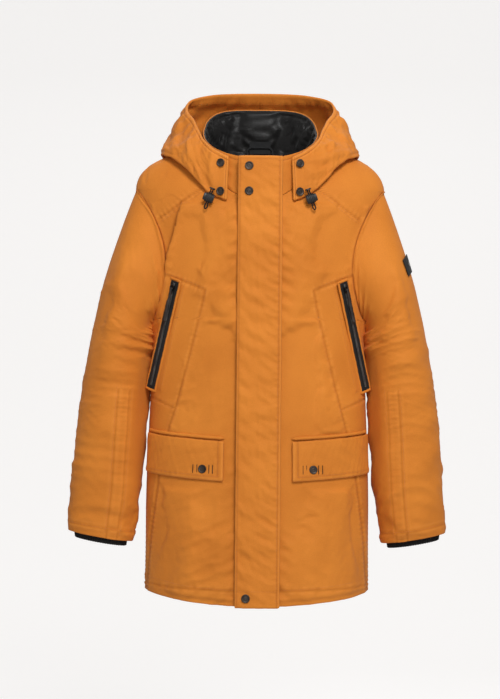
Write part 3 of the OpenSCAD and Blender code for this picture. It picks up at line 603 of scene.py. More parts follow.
# An ellipse's quarter over the shoulder, straight down to the armhole's foot, then eased out to the hem
def halfWidth(z):
    z = np.asarray(z, float)
    top = coat["neckHalf"] + 132 * np.sqrt(np.clip(1 - ((z - coat["tipZ"]) / 80) ** 2, 0, 1))
    chest = mix(coat["chestHalf"], coat["tipHalf"], (z - coat["armZ"]) / 265)
    low = mix(coat["chestHalf"], coat["hemHalf"], ease((coat["armZ"] - z) / 400))
    return np.where(z > coat["tipZ"], top, np.where(z > coat["armZ"], chest, low))


# Depth in front of and behind the side seams, pulled in over the shoulder
def frontDeep(z):
    over = np.clip((z + 160) / 145, 0, 1) ** 2
    return (coat["frontDepth"] - coat["lean"] * (z - coat["hemZ"])) * (1 - 0.7 * over)


def backDeep(z):
    return coat["backDepth"] * (1 - 0.365 * np.clip((z + 160) / 145, 0, 1) ** 2)


def armholeX(z):
    q = np.clip((z - coat["armZ"]) / 265, 0, 1)
    return mix(coat["chestHalf"], coat["tipHalf"], q) - 45 * np.sin(math.pi * q) ** 0.8


# The neckline: half width 122 sin psi where z is -15 - 109 times cos psi to the power 1.5
def neckX(z):
    c = np.clip((coat["neckZ"] - z) / 109, 0, 1) ** (2 / 3)
    return coat["neckHalf"] * np.sqrt(np.clip(1 - c * c, 0, 1))


# th runs from 0 at the centre to 90 degrees at the side; facing is -1 for the front, 1 for the back
def bodyPoint(th, z, facing):
    s = np.sin(th)
    deep = frontDeep(z) if facing < 0 else backDeep(z)
    lift = coat["hemLift"] * s * s * (1 - ease((z - coat["hemZ"]) / 260))
    return stack(halfWidth(z) * s, midY + facing * deep * np.cos(th), z + lift)


def panelRows():
    ring = np.radians(np.linspace(2, 88, 34))
    rows = np.concatenate([np.arange(coat["hemZ"], -124, coat["step"]), np.arange(-122, -95, 3.4),
                           -15 - 109 * np.cos(ring) ** 1.5, -95
                           + 80 * np.sin(np.radians(np.linspace(2, 87, 26)))])
    rows = np.sort(rows)
    keep = [rows[0]]
    for z in rows[1:]:
        if z - keep[-1] > (2.4 if z < -124 else 1.0):
            keep.append(z)
    return np.array(keep)


rowZ = panelRows()
frontCols, backCols = 98, 150


def frontSpan(z):
    inner = np.where(z <= coat["frontNeckZ"], 4.0, np.maximum(neckX(z), 4.0))
    outer = np.where((z > coat["armZ"]) & (z < coat["tipZ"]), armholeX(z), halfWidth(z))
    h = halfWidth(z)
    return np.arcsin(np.clip(inner / h, 0, 1)), np.arcsin(np.clip(outer / h, 0, 1))


# Seams in (x, z), for the wearer's left; the right is turned round
seamLines = dict(
    yoke=[(100, -86), (150, -121), (184, -146), (203, -158)],
    chestTop=[(108, -302), (150, -285), (199, -266)],
    princess=[(108, -303), (121, -360), (137, -425), (164, -534), (181, -590), (202, -694), (216, -797),
              (226, -925)],
    pocketFoot=[(168, -538), (192, -529), (216, -519)])


def frontShape(x, z, side, edge, folds):
    seed = 10 if side > 0 else 40
    a = np.abs(x)
    d = 1.7 * ripple(x, z * 0.8, seed, 7, 90, 190, 0.05, 0.3)
    d = d + 0.75 * ripple(x, z, seed + 1, 8, 36, 80, 0.35 * side, 0.7)
    d = d + 0.26 * ripple(x, z, seed + 2, 12, 11, 26, 0.2, 1.4)
    d = d + fold(a, z, [(150, -118), (176, -210), (206, -345)], 4.2 if side < 0 else 2.2, 12)
    d = d + fold(a, z, [(168, -150), (186, -230), (196, -300)], -3.2, 11)
    d = d + fold(a, z, [(60, -190), (100, -260), (150, -330)], 2.0, 20)
    d = d + fold(a, z, [(205, -370), (150, -400), (95, -420)], 2.2, 15)
    d = d + fold(a, z, [(214, -430), (165, -470), (110, -480)], -2.0, 16)
    d = d + fold(a, z, [(60, -560), (76, -720), (70, -900)], 2.4, 22)
    d = d + fold(a, z, [(190, -700), (180, -800), (186, -900)], -2.6, 22)
    d = d + fold(a, z, [(128, -700), (134, -800), (128, -910)], 2.4, 18)
    d = d + 3.2 * crumple(x, z, seed + 3, 70, 170, 0.45 * side, 0.5)
    d = d + 1.8 * crumple(x, z, seed + 4, 30, 70, 0.9 * side, 0.7)
    # pulls beside the zip and by the armhole
    d = d + 1.3 * np.sin((z + 0.55 * a) / 4.6 + 1.5 * np.sin(z / 41)) * bell(a - 54,
            13) * ease((-150 - z) / 60)
    if side > 0:
        d = d + 2.0 * np.sin((z - 0.35 * a) / 5.2) * bell(edge["out"],
                                                          17) * ease((z + 352) / 40) * ease((-190 - z) / 50)
    e, k, _ = lineDistance(a, z, [(165, -285), (213, -502)])
    d = softFloor(d + folds + 0.5, 1.2) * ease(edge["near"] / 16) * (1 - 0.92 * bell(e, 24))
    if side < 0:
        # the chest's cloth stands over the armhole in one sharp crease
        lean = (a - 152) - (-112 - z) * (55 / 230)
        over = np.where(lean < 0, np.exp(np.clip(lean, -200, 0) / 26) * 10.0,
                        -1.2 * np.exp(-np.clip(lean, 0, 200) / 9))
        d = d + over * ease((-104 - z) / 40) * ease((z + 372) / 60) * ease(edge["near"] / 5)
    # what lies on the coat keeps its folds down: the pocket flap, the hood's tab
    flat = ease((z + 706) / 14) * ease((-580 - z) / 10) * ease((a - 56) / 10) + ease((z
            + 134) / 10) * ease((a - 52) / 8)
    d = mix(d, np.minimum(d, 0.3), np.clip(flat, 0, 1))
    lines = seamLines
    for key, deep, pucker in (("yoke", 0.9, 0.4), ("chestTop", 0.9, 0.6), ("princess", 1.0, 0.5),
                              ("pocketFoot", 0.9, 0.3)):
        d = d + seam(a, z, lines[key], deep, 2.5, pucker)
    # the chest zip sinks a little between its two rolled edges
    e, k, length = lineDistance(a, z, [(165, -285), (213, -502)])
    inside = np.where((k > 0.01) & (k < 0.99), 1, 0)
    d = d + 1.6 * bell(e - 15.5, 4.5) * inside
    d = d - 0.6 * bell(edge["near"], 3.0)
    d = d - 0.8 * bell(z - (coat["hemZ"] + 31), 1.6) + 0.5 * bell(z - (coat["hemZ"] + 16), 11)
    d = d + 0.3 * np.sin(x / 2.4) * bell(z - (coat["hemZ"] + 31), 12)
    return d


# Painted shade in the grooves of the seams, panel edges and hem stitching, painted highlight on the rolls
# beside them, broken up by a ripple
def seamShade(a, z, edge, keys):
    near = np.minimum(edge["near"], 99)
    for key in keys:
        near = np.minimum(near, lineDistance(a, z, seamLines[key])[0])
    near = np.minimum(near, np.abs(z - (coat["hemZ"] + 31)))
    wave = 0.5 + 0.5 * ripple(a, z, 7, 8, 9, 40, 0, 3.1)
    return np.clip(0.4 * bell(near - 5, 3) * wave - 0.5 * bell(near, 2.6), -1, 1)


def edgeDistances(p):
    step = np.linalg.norm(np.diff(p, axis=1), axis=-1)
    run = np.concatenate([np.zeros((len(p), 1)), np.cumsum(step, 1)], 1)
    return run, run[:, -1:] - run


def buildFront(side, word):
    u = np.linspace(0, 1, frontCols)[None, :]
    z = rowZ[:, None]
    inner, outer = frontSpan(z)
    p = bodyPoint(mix(inner, outer, u), z * np.ones_like(u), -1) * [side, 1, 1]
    n = gridNormals(p, towards=np.array([0, midY, -450.0]))
    a, b = edgeDistances(p)
    edge = dict(near=np.minimum(b, a + 30), out=b)
    folds = clothFolds(p, n, grow=0.022 if side > 0 else 0.025, cap=5.0)
    shape = frontShape(p[..., 0], p[..., 2], side, edge, folds)
    shade = seamShade(np.abs(p[..., 0]), p[..., 2], edge, seamLines)
    if side < 0:
        # painted shadow along the foot of the chest's sharp crease over the armhole
        lean = (np.abs(p[..., 0]) - 152) - (-112 - p[..., 2]) * (55 / 230)
        shade = shade - 0.8 * bell(lean - 3.0,
                                   5.0) * ease((-110 - p[..., 2]) / 40) * ease((p[..., 2] + 372) / 60)
    q = p + n * shape[..., None]
    m = gridNormals(q, towards=np.array([0, midY, -450.0]))
    panel = makePiece(f"{word}_front", [shellPart(q, q - 1.5 * m, shade=shade)], shellCloth)
    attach(panel, "coat")
    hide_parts(f"{word}_front_panel", f"{word}_yoke")

    def toGrid(points):
        run = through(points, np.linspace(0, 1, 160))
        i, o = frontSpan(run[:, 1])
        th = np.arcsin(np.clip(run[:, 0] / halfWidth(run[:, 1]), 0, 1))
        keep = (th > i) & (th < o)
        v = np.interp(run[:, 1], rowZ, np.arange(len(rowZ))) / (len(rowZ) - 1)
        return ((th - i) / (o - i))[keep], v[keep]

    def shifted(points, dx, dz):
        return [(x + dx, zz + dz) for x, zz in points]

    lines = [toGrid([(4.5, -894), (120, -894), (227.5, -894)]),
             toGrid(shifted(seamLines["yoke"], 0, -3.4)), toGrid(shifted(seamLines["yoke"], 0, -9.4)),
             toGrid(shifted(seamLines["princess"], -3.6, 0)),
             toGrid(shifted(seamLines["chestTop"], 0, 3.6)),
             toGrid(shifted(seamLines["pocketFoot"], 0, -3.4)),
             toGrid([(148, -290), (196, -506)]), toGrid([(182, -280), (216, -440)])]
    zz = np.linspace(-345, -105, 120)
    i, o = frontSpan(zz)
    v = np.interp(zz, rowZ, np.arange(len(rowZ))) / (len(rowZ) - 1)
    lines.append((1 - 4.0 / np.maximum(armholeX(zz) * (o - i), 12), v))
    return q, m, stitchParts(q, m, lines)


def buildBack():
    u = np.linspace(-1, 1, backCols)[None, :]
    z = rowZ[:, None]
    _, outer = frontSpan(z)
    p = bodyPoint(outer * u, z * np.ones_like(u), 1)
    n = gridNormals(p, towards=np.array([0, midY, -450.0]))
    a, b = edgeDistances(p)
    near = np.minimum(a, b)
    x, zz = p[..., 0], p[..., 2]
    d = 2.2 * ripple(x, zz * 0.8, 71, 8, 110, 230, 0.0, 0.25) + 0.7 * ripple(x, zz, 72, 8, 40, 90, 0.3, 0.8)
    d = d + 0.26 * ripple(x, zz, 73, 12, 11, 26, 0.2, 1.4)
    for s in (-1, 1):
        d = d + fold(x * s, zz, [(120, -170), (150, -300), (160, -420)], 3.0, 20)
        d = d + fold(x * s, zz, [(70, -420), (86, -640), (90, -900)], 3.4, 24)
        d = d + fold(x * s, zz, [(205, -380), (150, -420), (90, -425)], 2.4, 17)
    d = d + clothFolds(p, n, grow=0.02, coarse=3, cap=5.0)
    d = softFloor(d + 0.5, 1.8) * ease(near / 16) + seam(x, zz, [(-206, -166), (0, -154), (206, -166)], 1.1,
                                                         2.0, 0.35)
    for s in (-1, 1):
        d = d + seam(x * s, zz, [(150, -160), (140, -420), (150, -925)], 1.0, 2.0, 0.4)
    d = d - 0.6 * bell(near, 3.0) - 0.8 * bell(zz - (coat["hemZ"] + 31), 1.6)
    d = d + 0.5 * bell(zz - (coat["hemZ"] + 16), 11)
    d = d + 0.3 * np.sin(x / 2.4) * bell(zz - (coat["hemZ"] + 31), 12)
    lines = [[(-206, -166), (0, -154), (206, -166)], [(150, -160), (140, -420), (150, -925)],
             [(-150, -160), (-140, -420), (-150, -925)], [(-300, -894), (300, -894)]]
    # painted shade in the grooves of the seams, the edges and the hem's stitching, painted highlight on the
    # rolls beside them
    dist = near
    for line in lines:
        dist = np.minimum(dist, lineDistance(x, zz, line)[0])
    wave = 0.5 + 0.5 * ripple(x, zz, 8, 8, 9, 40, 0, 3.1)
    shade = np.clip(0.4 * bell(dist - 5, 3) * wave - 0.5 * bell(dist, 2.6), -1, 1)
    q = p + n * d[..., None]
    m = gridNormals(q, towards=np.array([0, midY, -450.0]))
    panel = makePiece("back", [shellPart(q, q - 1.5 * m, shade=shade)], shellCloth)
    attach(panel, "coat")
    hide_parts("back_panel", "back_yoke")

    def toGrid(points):
        run = through(points, np.linspace(0, 1, 260))
        _, o = frontSpan(run[:, 1])
        th = np.arcsin(np.clip(run[:, 0] / halfWidth(run[:, 1]), -1, 1))
        keep = np.abs(th) < o * 0.985
        v = np.interp(run[:, 1], rowZ, np.arange(len(rowZ))) / (len(rowZ) - 1)
        return (0.5 + 0.5 * th / o)[keep], v[keep]

    return q, m, stitchParts(q, m, [toGrid(t) for t in (
        [(-206, -170), (0, -158), (206, -170)], [(-206, -176), (0, -164), (206, -176)],
        [(154, -175), (144, -420), (154, -915)], [(-154, -175), (-144, -420), (-154, -915)],
        [(-226, -894), (0, -894), (226, -894)])])


bodyStitches = []
for side, word in ((1, "left"), (-1, "right")):
    bodyStitches += buildFront(side, word)[2]
bodyStitches += buildBack()[2]
print("body panels made")

# Linings, wadding and the turned-up hem
lining = dict(outer=3.4, inner=9.4, cols=44, rows=110, quilt=60)


def liningGrid(facing, side):
    z = np.linspace(coat["hemZ"] + 12, -17, lining["rows"])[:, None]
    inner, outer = frontSpan(z)
    u = np.linspace(0, 1, lining["cols"])[None, :]
    if facing < 0:
        th = mix(np.maximum(inner, np.arcsin(24 / halfWidth(z))), outer, u * 0.985)
        p = bodyPoint(th, z * np.ones_like(u), -1) * [side, 1, 1]
    else:
        u = np.linspace(-1, 1, 2 * lining["cols"])[None, :]
        p = bodyPoint(outer * u * 0.985, z * np.ones_like(u), 1)
    n = gridNormals(p, towards=np.array([0, midY, -450.0]))
    puff = 1.2 * np.abs(np.sin(math.pi * p[..., 2] / lining["quilt"])) ** 0.7
    puff = puff + 0.5 * ripple(p[..., 0], p[..., 2], 90 + facing, 9, 18, 50, 0.3, 1.5)
    return p - lining["outer"] * n, p - (lining["inner"] + np.clip(puff, -1, 1.6)[..., None]) * n


for facing, side, word, covers in ((-1, 1, "left_front", ("left_front_lining",)),
                                   (-1, -1, "right_front", ("right_front_lining",)),
                                   (1, 1, "back", ("back_lining", "body_wadding"))):
    outer, inner = liningGrid(facing, side)
    piece = makePiece(f"{word}_quilted_lining", [shellPart(outer, inner)], liningCloth)
    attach(piece, "coat")
    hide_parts(*covers)

hemParts = []
for facing, side in ((-1, 1), (-1, -1), (1, 1)):
    z = np.linspace(coat["hemZ"] + 1, coat["hemZ"] + 33, 9)[:, None]
    u = np.linspace(0, 1, 60)[None, :] if facing < 0 else np.linspace(-1, 1, 120)[None, :]
    start = np.arcsin(8 / halfWidth(z)) if facing < 0 else 0
    p = bodyPoint(mix(start, math.pi / 2, u) if facing < 0 else u * math.pi / 2, z * np.ones_like(u),
                  facing) * [side, 1, 1]
    n = gridNormals(p, towards=np.array([0, midY, -450.0]))
    p = p - n * (1.7 + 8.6 * ease((z - coat["hemZ"]) / 20))[..., None] + n * 0.35 * np.sin(p[..., :1] / 3.1)
    hemParts.append(shellPart(p, p - 1.2 * n))
hem = makePiece("turned_hem", hemParts, shellInside)
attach(hem, "coat")
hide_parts("hem_facing")
print("linings made")

# Collar
collar = dict(gap=2.2, cols=200, topFront=-40, topBack=82)


# psi is 0 at the centre front and 180 at the centre back; v climbs the collar and d goes in from its skin
def collarPoint(psi, v, d):
    c, s = np.cos(psi), np.sin(psi)
    z = np.where(c > 0, coat["neckZ"] - 109 * np.clip(c, 0, 1) ** 1.5, coat["neckZ"])
    x = coat["neckHalf"] * s
    front = midY - frontDeep(z) * np.sqrt(np.clip(1 - (x / halfWidth(z)) ** 2, 0, 1))
    back = midY - backDeep(np.asarray(-15.0)) * c
    low = stack(x, np.where(c > 0, front, back), z + 1.5)
    square = np.where(c < 0, 1 - 0.56 * ease(-c / 0.35), 1.0)
    top = stack(118 * np.sign(s) * np.abs(s) ** square, midY - 16.5 - 91.5 * c,
                mix(collar["topFront"], collar["topBack"], (1 - c) / 2))
    out = unit(stack(92 * s, -120 * c, 0 * s))
    return mix(low, top, np.asarray(v)[..., None]) - np.asarray(d)[..., None] * out


psi = np.radians(np.linspace(collar["gap"], 360 - collar["gap"], collar["cols"]))[None, :]
# the outer skin climbs, rolls over the top on a half circle and comes 3 mm down inside
w = np.linspace(0, 1, 34)[:, None]
climb = np.concatenate([w * 0.985, np.ones((7, 1)) * 0.985, np.linspace(0.978, 0.955, 4)[:, None]])
turn = np.concatenate([np.zeros((34, 1)), np.linspace(0.2, math.pi, 7)[:, None], np.full((4, 1), math.pi)])
rollR = 1.5
d = rollR * (1 - np.cos(turn))
p = collarPoint(psi, climb * np.ones_like(psi), d * np.ones_like(psi))
p[..., 2] += rollR * np.sin(turn)
base = collarPoint(psi, climb * np.ones_like(psi), 30 + 0 * climb * psi)
n = unit(p - base)
run = np.degrees(psi) * 2.0
wave = 1.2 * ripple(run, climb * 110, 201, 8, 40, 110, 0.2, 0.5) + 0.5 * ripple(run, climb * 110, 202, 8,
        14, 34, 0.5, 1.2)
wave = softFloor(wave, 0.8) * ease(climb / 0.12) * (1 - 0.6 * ease((climb - 0.85) / 0.1))
p = p + n * (wave - 1.0 * bell((climb - 0.9) * 110, 2.0) * (turn < 0.1))[..., None]
# the foot flares over the back's neckline: 14 mm out at the very foot, gone 12 mm up
flare = 14 * bell(climb * 110, 5) * ease((0.35 - np.cos(psi)) / 0.4) * (turn < 0.1)
p = p + n * flare[..., None]
m = gridNormals(p, towards=np.array([0, midY - 10, 0.0]))
# painted shade in the groove under the top's stitching, painted highlight on the roll over the top
tone = np.clip(-0.8 * bell((climb - 0.9) * 110, 1.8) * (turn < 0.1) + 0.4 * bell(turn - 1.2, 0.8), -1,
               1) * np.ones_like(psi)
collarSkin = p
piece = makePiece("collar_outer", [shellPart(p, p
                                             - 1.4 * unit(p - base) * np.where(turn < 1.6, 1, -1)[...,
        None], shade=tone)], shellCloth)
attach(piece, "coat")
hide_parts("collar_shell", "collar_wadding")

# the padded inside: swells away from the shell, with slanting creases where it is squeezed
v = np.linspace(0.975, -0.03, 64)[:, None]
swell = 2.4 + 9.8 * np.clip(np.sin(math.pi * np.clip((0.985 - v) / 1.09, 0, 1)), 0, 1) ** 0.42
run = np.degrees(psi) * 1.8
high = v * 100
crease = ripple(run, high, 211, 6, 16, 34, 0.35, 0.5) + 0.8 * ripple(run, high, 212, 6, 12, 24, -0.7, 0.4)
crease = 1.9 * crease - 2.4 * np.abs(ripple(run, high, 213, 5, 26, 50, 0.2, 0.6))
q = collarPoint(psi, v * np.ones_like(psi), swell)
inward = gridNormals(q)
inward = -inward * np.sign(np.mean(np.sum(inward * (q - np.array([0, midY - 10, 0])), -1)))
crease = 0.6 * crease + clothFolds(q, inward, grow=0.07, pressure=2.0, cap=5.0, stiff=0.1)
swell = swell + np.clip(crease, -5, 2.6) * ease((0.975 - v) / 0.1) * ease((v + 0.03) / 0.1)
swell = np.maximum(swell, 2.0 + 2.0 * ease((0.96 - v) / 0.06))
q = collarPoint(psi, v * np.ones_like(psi), swell)
back = collarPoint(psi, v * np.ones_like(psi), (swell * 0 + 2.8))
back = np.where((swell > 3.9)[..., None], back, q
                + 1.0 * unit(back - collarPoint(psi, v * np.ones_like(psi), 40 + 0 * swell)))
piece = makePiece("collar_padding", [shellPart(q, back)], liningCloth)
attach(piece, "coat")
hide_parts("collar_lining")
colU = np.linspace(0.02, 0.98, 300)
bodyStitches += stitchParts(collarSkin[:34], m[:34], [(colU, 0 * colU + 0.9)])
print("collar made")

# Sleeves
sleeve = dict(
    outer=[(254, -95), (287, -179), (314, -266), (334, -350), (348, -420), (361, -500), (371, -580),
           (379, -683),
           (386, -791)],
    inner=[(216, -360), (217, -366), (218.5, -378), (220.5, -400), (224, -440), (230, -512), (234, -596),
           (239, -703), (254, -813)],
    depth=[74, 84, 84, 82, 79, 74, 68, 58, 43], turns=112, rows=204, long=760, seams=(103, 123))


# phi is 0 on the outer line, 90 at the front, 180 on the inner line; t is 0 at the armhole and 1 at the
# cuff
def sleevePoint(phi, t):
    c, s = np.cos(phi), np.sin(phi)
    z = mix(coat["armZ"], coat["tipZ"], (1 + c) / 2)
    x = armholeX(z)
    edge = np.sqrt(np.clip(1 - np.minimum(1, x / halfWidth(z)) ** 2, 0, 1))
    hole = stack(x, midY + np.where(s >= 0, -frontDeep(z), backDeep(z)) * edge, z)
    o, i = through(sleeve["outer"], t), through(sleeve["inner"], t)
    mid, arm = (o + i) / 2, (o - i) / 2
    tube = stack(mid[..., 0] + arm[..., 0] * c, midY - through(sleeve["depth"], t) * s, mid[..., 1]
                 + arm[..., 1] * c)
    return mix(hole, tube, ease(t / 0.3)[..., None])


def sleeveCentre(t):
    o, i = through(sleeve["outer"], t), through(sleeve["inner"], t)
    mid = (o + i) / 2
    return stack(mid[..., 0], midY + 0 * mid[..., 0], mid[..., 1])


def outwards(p, centre, closed=True):
    n = gridNormals(p, closed)
    sign = np.sign(np.mean(np.sum(n * (p - centre), -1)))
    return n * sign


def sleeveShape(phi, t, seed, folds):
    b = t * sleeve["long"]
    lower = ease((b - 440) / 30)
    d = 2.0 * tubeRipple(phi, b, seed, 6, (1, 3), 260, 700) + 0.9 * tubeRipple(phi, b, seed + 1, 7, (2, 5),
            60, 140)
    d = d + 0.3 * tubeRipple(phi, b, seed + 2, 12, (6, 18), 12, 34)
    girth = 66 * np.sin(phi)
    d = d + 3.0 * crumple(girth, b, seed + 8, 60, 150, 0.8, 0.6)
    d = d + 1.6 * crumple(girth, b, seed + 9, 26, 60, 1.2, 0.6)
    # creases cross the sleeve at the elbow's inner side and where it presses on the coat
    d = d + 2.1 * tubeRipple(phi, b, seed + 3, 4, (1, 2), 38, 66) * bell(b - 370, 95) * (0.35
            + 0.65 * bell(phi - math.pi, 1.3))
    d = d + 2.4 * tubeRipple(phi, b, seed + 4, 4, (1, 2), 32, 58) * bell(b - 110, 70) * bell(phi
            - math.radians(140), 1.0)
    d = d + 0.8 * tubeRipple(phi, b, seed + 5, 4, (1, 2), 26, 44) * bell(b - 700, 60)
    # the inner side rests against the coat
    besideZip = bell(phi - 2.65, 0.45) * ease((b - 330) / 60) * ease((700 - b) / 60)
    beside = np.interp(b, [200, 285, 380, 475, 570, 665], [0, 2.6, 5.8, 8.4, 6.5, 0])
    d = softFloor(d + folds, 2.4) + beside * bell(phi - math.pi, 0.5)
    d = mix(d, np.minimum(d, 0.2), besideZip)
    d = d + 2.2 * bell(b - 16, 12) * bell(np.sin(phi / 2), 0.75)
    d = softFloor(d + 0.4, 2.6) * ease((b - 2) / 26) * (1 - 0.75 * ease((b - 735) / 25))
    radius = 66
    for at in sleeve["seams"]:
        e = (phi - math.radians(at)) * radius
        d = d + (0.5 * bell(np.abs(e) - 4, 2.2) - 1.1 * bell(e, 1.7)) * lower
    middle = (phi - math.radians(sum(sleeve["seams"]) / 2)) * radius
    d = d + 0.75 * np.sin(b * 2 * math.pi / 10.5 + 1.4 * np.sin(b / 31)) * bell(middle, 12) * lower
    e = (phi - math.radians(262)) * radius
    d = d - 1.0 * bell(e, 1.7) + 0.4 * np.sin(b / 1.7) * bell(e, 8)
    d = d - 0.9 * bell(b - 736, 1.8) + 0.6 * bell(b - 749, 7) + 0.35 * np.sin(phi * 46) * bell(b - 736, 9)
    return d


def buildSleeve(side, word):
    seed = 300 if side > 0 else 340
    phi = (2 * math.pi * np.arange(sleeve["turns"]) / sleeve["turns"])[None, :]
    t = np.linspace(0, 1, sleeve["rows"])[:, None]
    ones = np.ones_like(phi)
    p = sleevePoint(phi * np.ones_like(t), t * ones)
    n = outwards(p, sleeveCentre(t * ones))
    b = t * sleeve["long"]
    folds = clothFolds(p, n, True, grow=0.03, cap=6.0)
    d = sleeveShape(phi * np.ones_like(t), t * ones, seed, folds)
    q = p + n * (d - 0.5 * bell(b, 4))[..., None]
    # the first rows tuck in under the coat's armhole edge
    tuck = q[:2] * 1.0
    for k, deep in enumerate((5.0, 2.5)):
        tuck[k] = q[0] + np.array([-deep * 0.6, 0, 0]) + deep * unit(np.array([215.0, midY, -230.0])
                - q[0]) * 0.8
    q = np.concatenate([tuck, q[0:]])
    q = q * [side, 1, 1]
    centre = np.concatenate([sleeveCentre(t * ones)[:1]] * 2 + [sleeveCentre(t * ones)]) * [side, 1, 1]
    m = outwards(q, centre)
    # painted shade in the grooves of the two seams, the cuff's join and the armhole's edge, painted highlight
    # on the rolls beside them
    e1 = np.abs(phi - math.radians(sleeve["seams"][0])) * 66
    e2 = np.abs(phi - math.radians(sleeve["seams"][1])) * 66
    near = np.minimum(np.minimum(e1, e2) + 60 * (1 - ease((b - 440) / 30)), np.minimum(np.abs(b - 736), b))
    shade = np.clip(0.3 * bell(near - 5, 3) - 0.4 * bell(near, 2.4), -1, 1)
    shade = np.concatenate([shade[:1], shade[:1], shade])
    piece = makePiece(f"{word}_sleeve_shell", [shellPart(q, q - 1.8 * m, True, shade)], shellCloth)
    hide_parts(f"{word}_sleeve_cap", f"{word}_sleeve")
    # stitches beside both seams and round the cuff
    v = np.linspace(0.61, 0.985, 260)
    turns = sleeve["turns"] - 1
    lines = []
    for at, shift in ((sleeve["seams"][0], -3.2), (sleeve["seams"][1], 3.2)):
        lines.append((np.full(v.shape, (at + shift) / 360 * sleeve["turns"] / turns), v))
    around = np.linspace(0.0, 1.0, 400)
    rows = len(q)
    lines.append((around, np.full(around.shape,
                                  (2 + 736 / sleeve["long"] * (sleeve["rows"] - 1)) / (rows - 1))))
    stitching = makePiece(f"{word}_sleeve_stitching", stitchParts(q, m, lines), threadMat)
    # the lining is a plain black tube inside, with its own soft creases
    tl = np.linspace(0.02, 0.965, 90)[:, None]
    pl = sleevePoint(phi[:, ::2] * np.ones_like(tl), tl * np.ones_like(phi[:, ::2]))
    cl = sleeveCentre(tl * np.ones_like(phi[:, ::2]))
    nl = outwards(pl, cl)
    dl = 6.6 - 0.9 * tubeRipple(phi[:, ::2], tl * 760, seed + 7, 8, (2, 6), 40, 110) * 0.6
    outer = (pl - nl * dl[..., None]) * [side, 1, 1]
    inner = (pl - nl * (dl + 1.3)[..., None]) * [side, 1, 1]
    inside = makePiece(f"{word}_sleeve_inside", [shellPart(outer, inner, True)], liningCloth)
    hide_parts(f"{word}_sleeve_lining")
    for one in (piece, stitching, inside):
        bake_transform(one)


ribbing = dict(ribs=62, cols=496, rows=30, depth=0.7)


# the cuff's knit: ribs are a cosine round the tube, and it narrows by a fifth below the sleeve
def buildCuff(side, word):
    phi = (2 * math.pi * np.arange(ribbing["cols"]) / ribbing["cols"])[None, :]
    v = np.linspace(0.05, 1, ribbing["rows"])[:, None]
    t = mix(0.88, 1, np.minimum(1, v * 1.5))
    p = sleevePoint(phi * np.ones_like(v), t * np.ones_like(phi))
    centre = sleeveCentre(t * np.ones_like(phi))
    middle = centre * 1.0
    size = mix(0.88, 0.79, v)
    p = middle + (p - middle) * size[..., None]
    p[..., 2] -= (np.clip(v - 0.667, 0, 1) * 36)
    n = unit((p - middle) * [1, 1, 0.15])
    rib = ribbing["depth"] * np.cos(phi * ribbing["ribs"]) + 0.3 * np.sin(v * 60)
    q = (p + n * rib[..., None]) * [side, 1, 1]
    inner = (p - n * 1.8) * [side, 1, 1]
    piece = makePiece(f"{word}_knit_cuff", [shellPart(q, inner, True)], ribKnit)
    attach(piece, f"{word}_sleeve")
    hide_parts(f"{word}_rib_cuff")


for side, word in ((1, "left"), (-1, "right")):
    buildSleeve(side, word)
    buildCuff(side, word)
print("sleeves made")

# Hood
hood = dict(
    rim=[(66, -100, -37), (95, -86, -20), (116, -59, 2), (126, -29, 25), (138, 2, 50), (154, 40, 76),
         (146, 78, 102), (102, 102, 116), (52, 114, 121), (0, 117, 122)],
    foot=[(69, -108, -124), (104, -99, -108), (134, -86, -76), (170, -58, -40), (200, -18, -24),
          (204, 34, -26),
          (178, 92, -60), (128, 138, -110), (66, 164, -148), (0, 172, -160)],
    neck=[(78, -99, -100), (103, -80, -66), (122, -61, -36), (131, -28, -15), (131, 4, -6), (124, 32, -2),
          (106, 58, -2), (78, 77, -2), (42, 88, -2), (0, 92, -2)],
    swell=[0, 2, 3, 2, 0, 4, 22, 40, 48, 50], cols=250, rows=46, thick=5.2)


def hoodLine(line, k):
    q = through(line, np.minimum(k, 1 - k) * 2) + [0, midY, 0]
    q[..., 0] = np.where(k > 0.5, -q[..., 0], q[..., 0])
    return q


# foot to rim in a straight line, swollen outwards by the sine of 180 v to the power 0.8
def hoodWall(k, v):
    foot = hoodLine(hood["foot"], k)
    out = foot - [0, midY, 0]
    out[..., 1] += 20
    out[..., 2] = 40
    swell = through(np.array(hood["swell"], float), np.minimum(k, 1 - k) * 2) * np.sin(math.pi * v**0.8)
    return mix(foot, hoodLine(hood["rim"], k), v[..., None]) + swell[..., None] * unit(out)


k = np.linspace(0, 1, hood["cols"])[None, :] * np.ones((hood["rows"], 1))
v = np.linspace(0.03, 1, hood["rows"])[:, None] * np.ones((1, hood["cols"]))
p = hoodWall(k, v)
n = gridNormals(p, towards=np.array([0, midY, -20.0]))
run, high = (k - 0.5) * 1050, v * 150
near = np.minimum(np.minimum(k, 1 - k) * 1050, (1 - v) * 150)
d = 2.0 * ripple(run, high, 401, 7, 70, 150, 0.1, 0.4) + 1.2 * ripple(run, high, 402, 8, 30, 62, 0.5, 0.7)
d = d + 0.3 * ripple(run, high, 403, 12, 11, 26, 0.3, 1.4)
d = d + 2.6 * crumple(run, high, 406, 60, 140, 0.6, 0.7)
for s in (-1, 1):
    d = d + fold(run * s, high, [(330, 6), (300, 60), (240, 120)], 5.0, 13)
    d = d + fold(run * s, high, [(290, 0), (250, 50), (170, 100)], -4.0, 13)
    d = d + fold(run * s, high, [(390, 10), (380, 60), (330, 125)], 3.6, 11)
    d = d + fold(run * s, high, [(200, 10), (140, 40), (60, 60)], 4.0, 15)
d = d + clothFolds(p, n, grow=0.04, cap=8.0, pressure=0.2)
tab = np.minimum(k, 1 - k) * 1050
d = softFloor(d + 0.5, 5.0) * ease(near / 18) * ease(v / 0.1) * ease((tab - 30) / 28)
stitchAt = (1 - v) * 150 - 10
d = d - 0.9 * bell(stitchAt, 1.7) + 0.6 * bell(stitchAt + 5, 3.6)
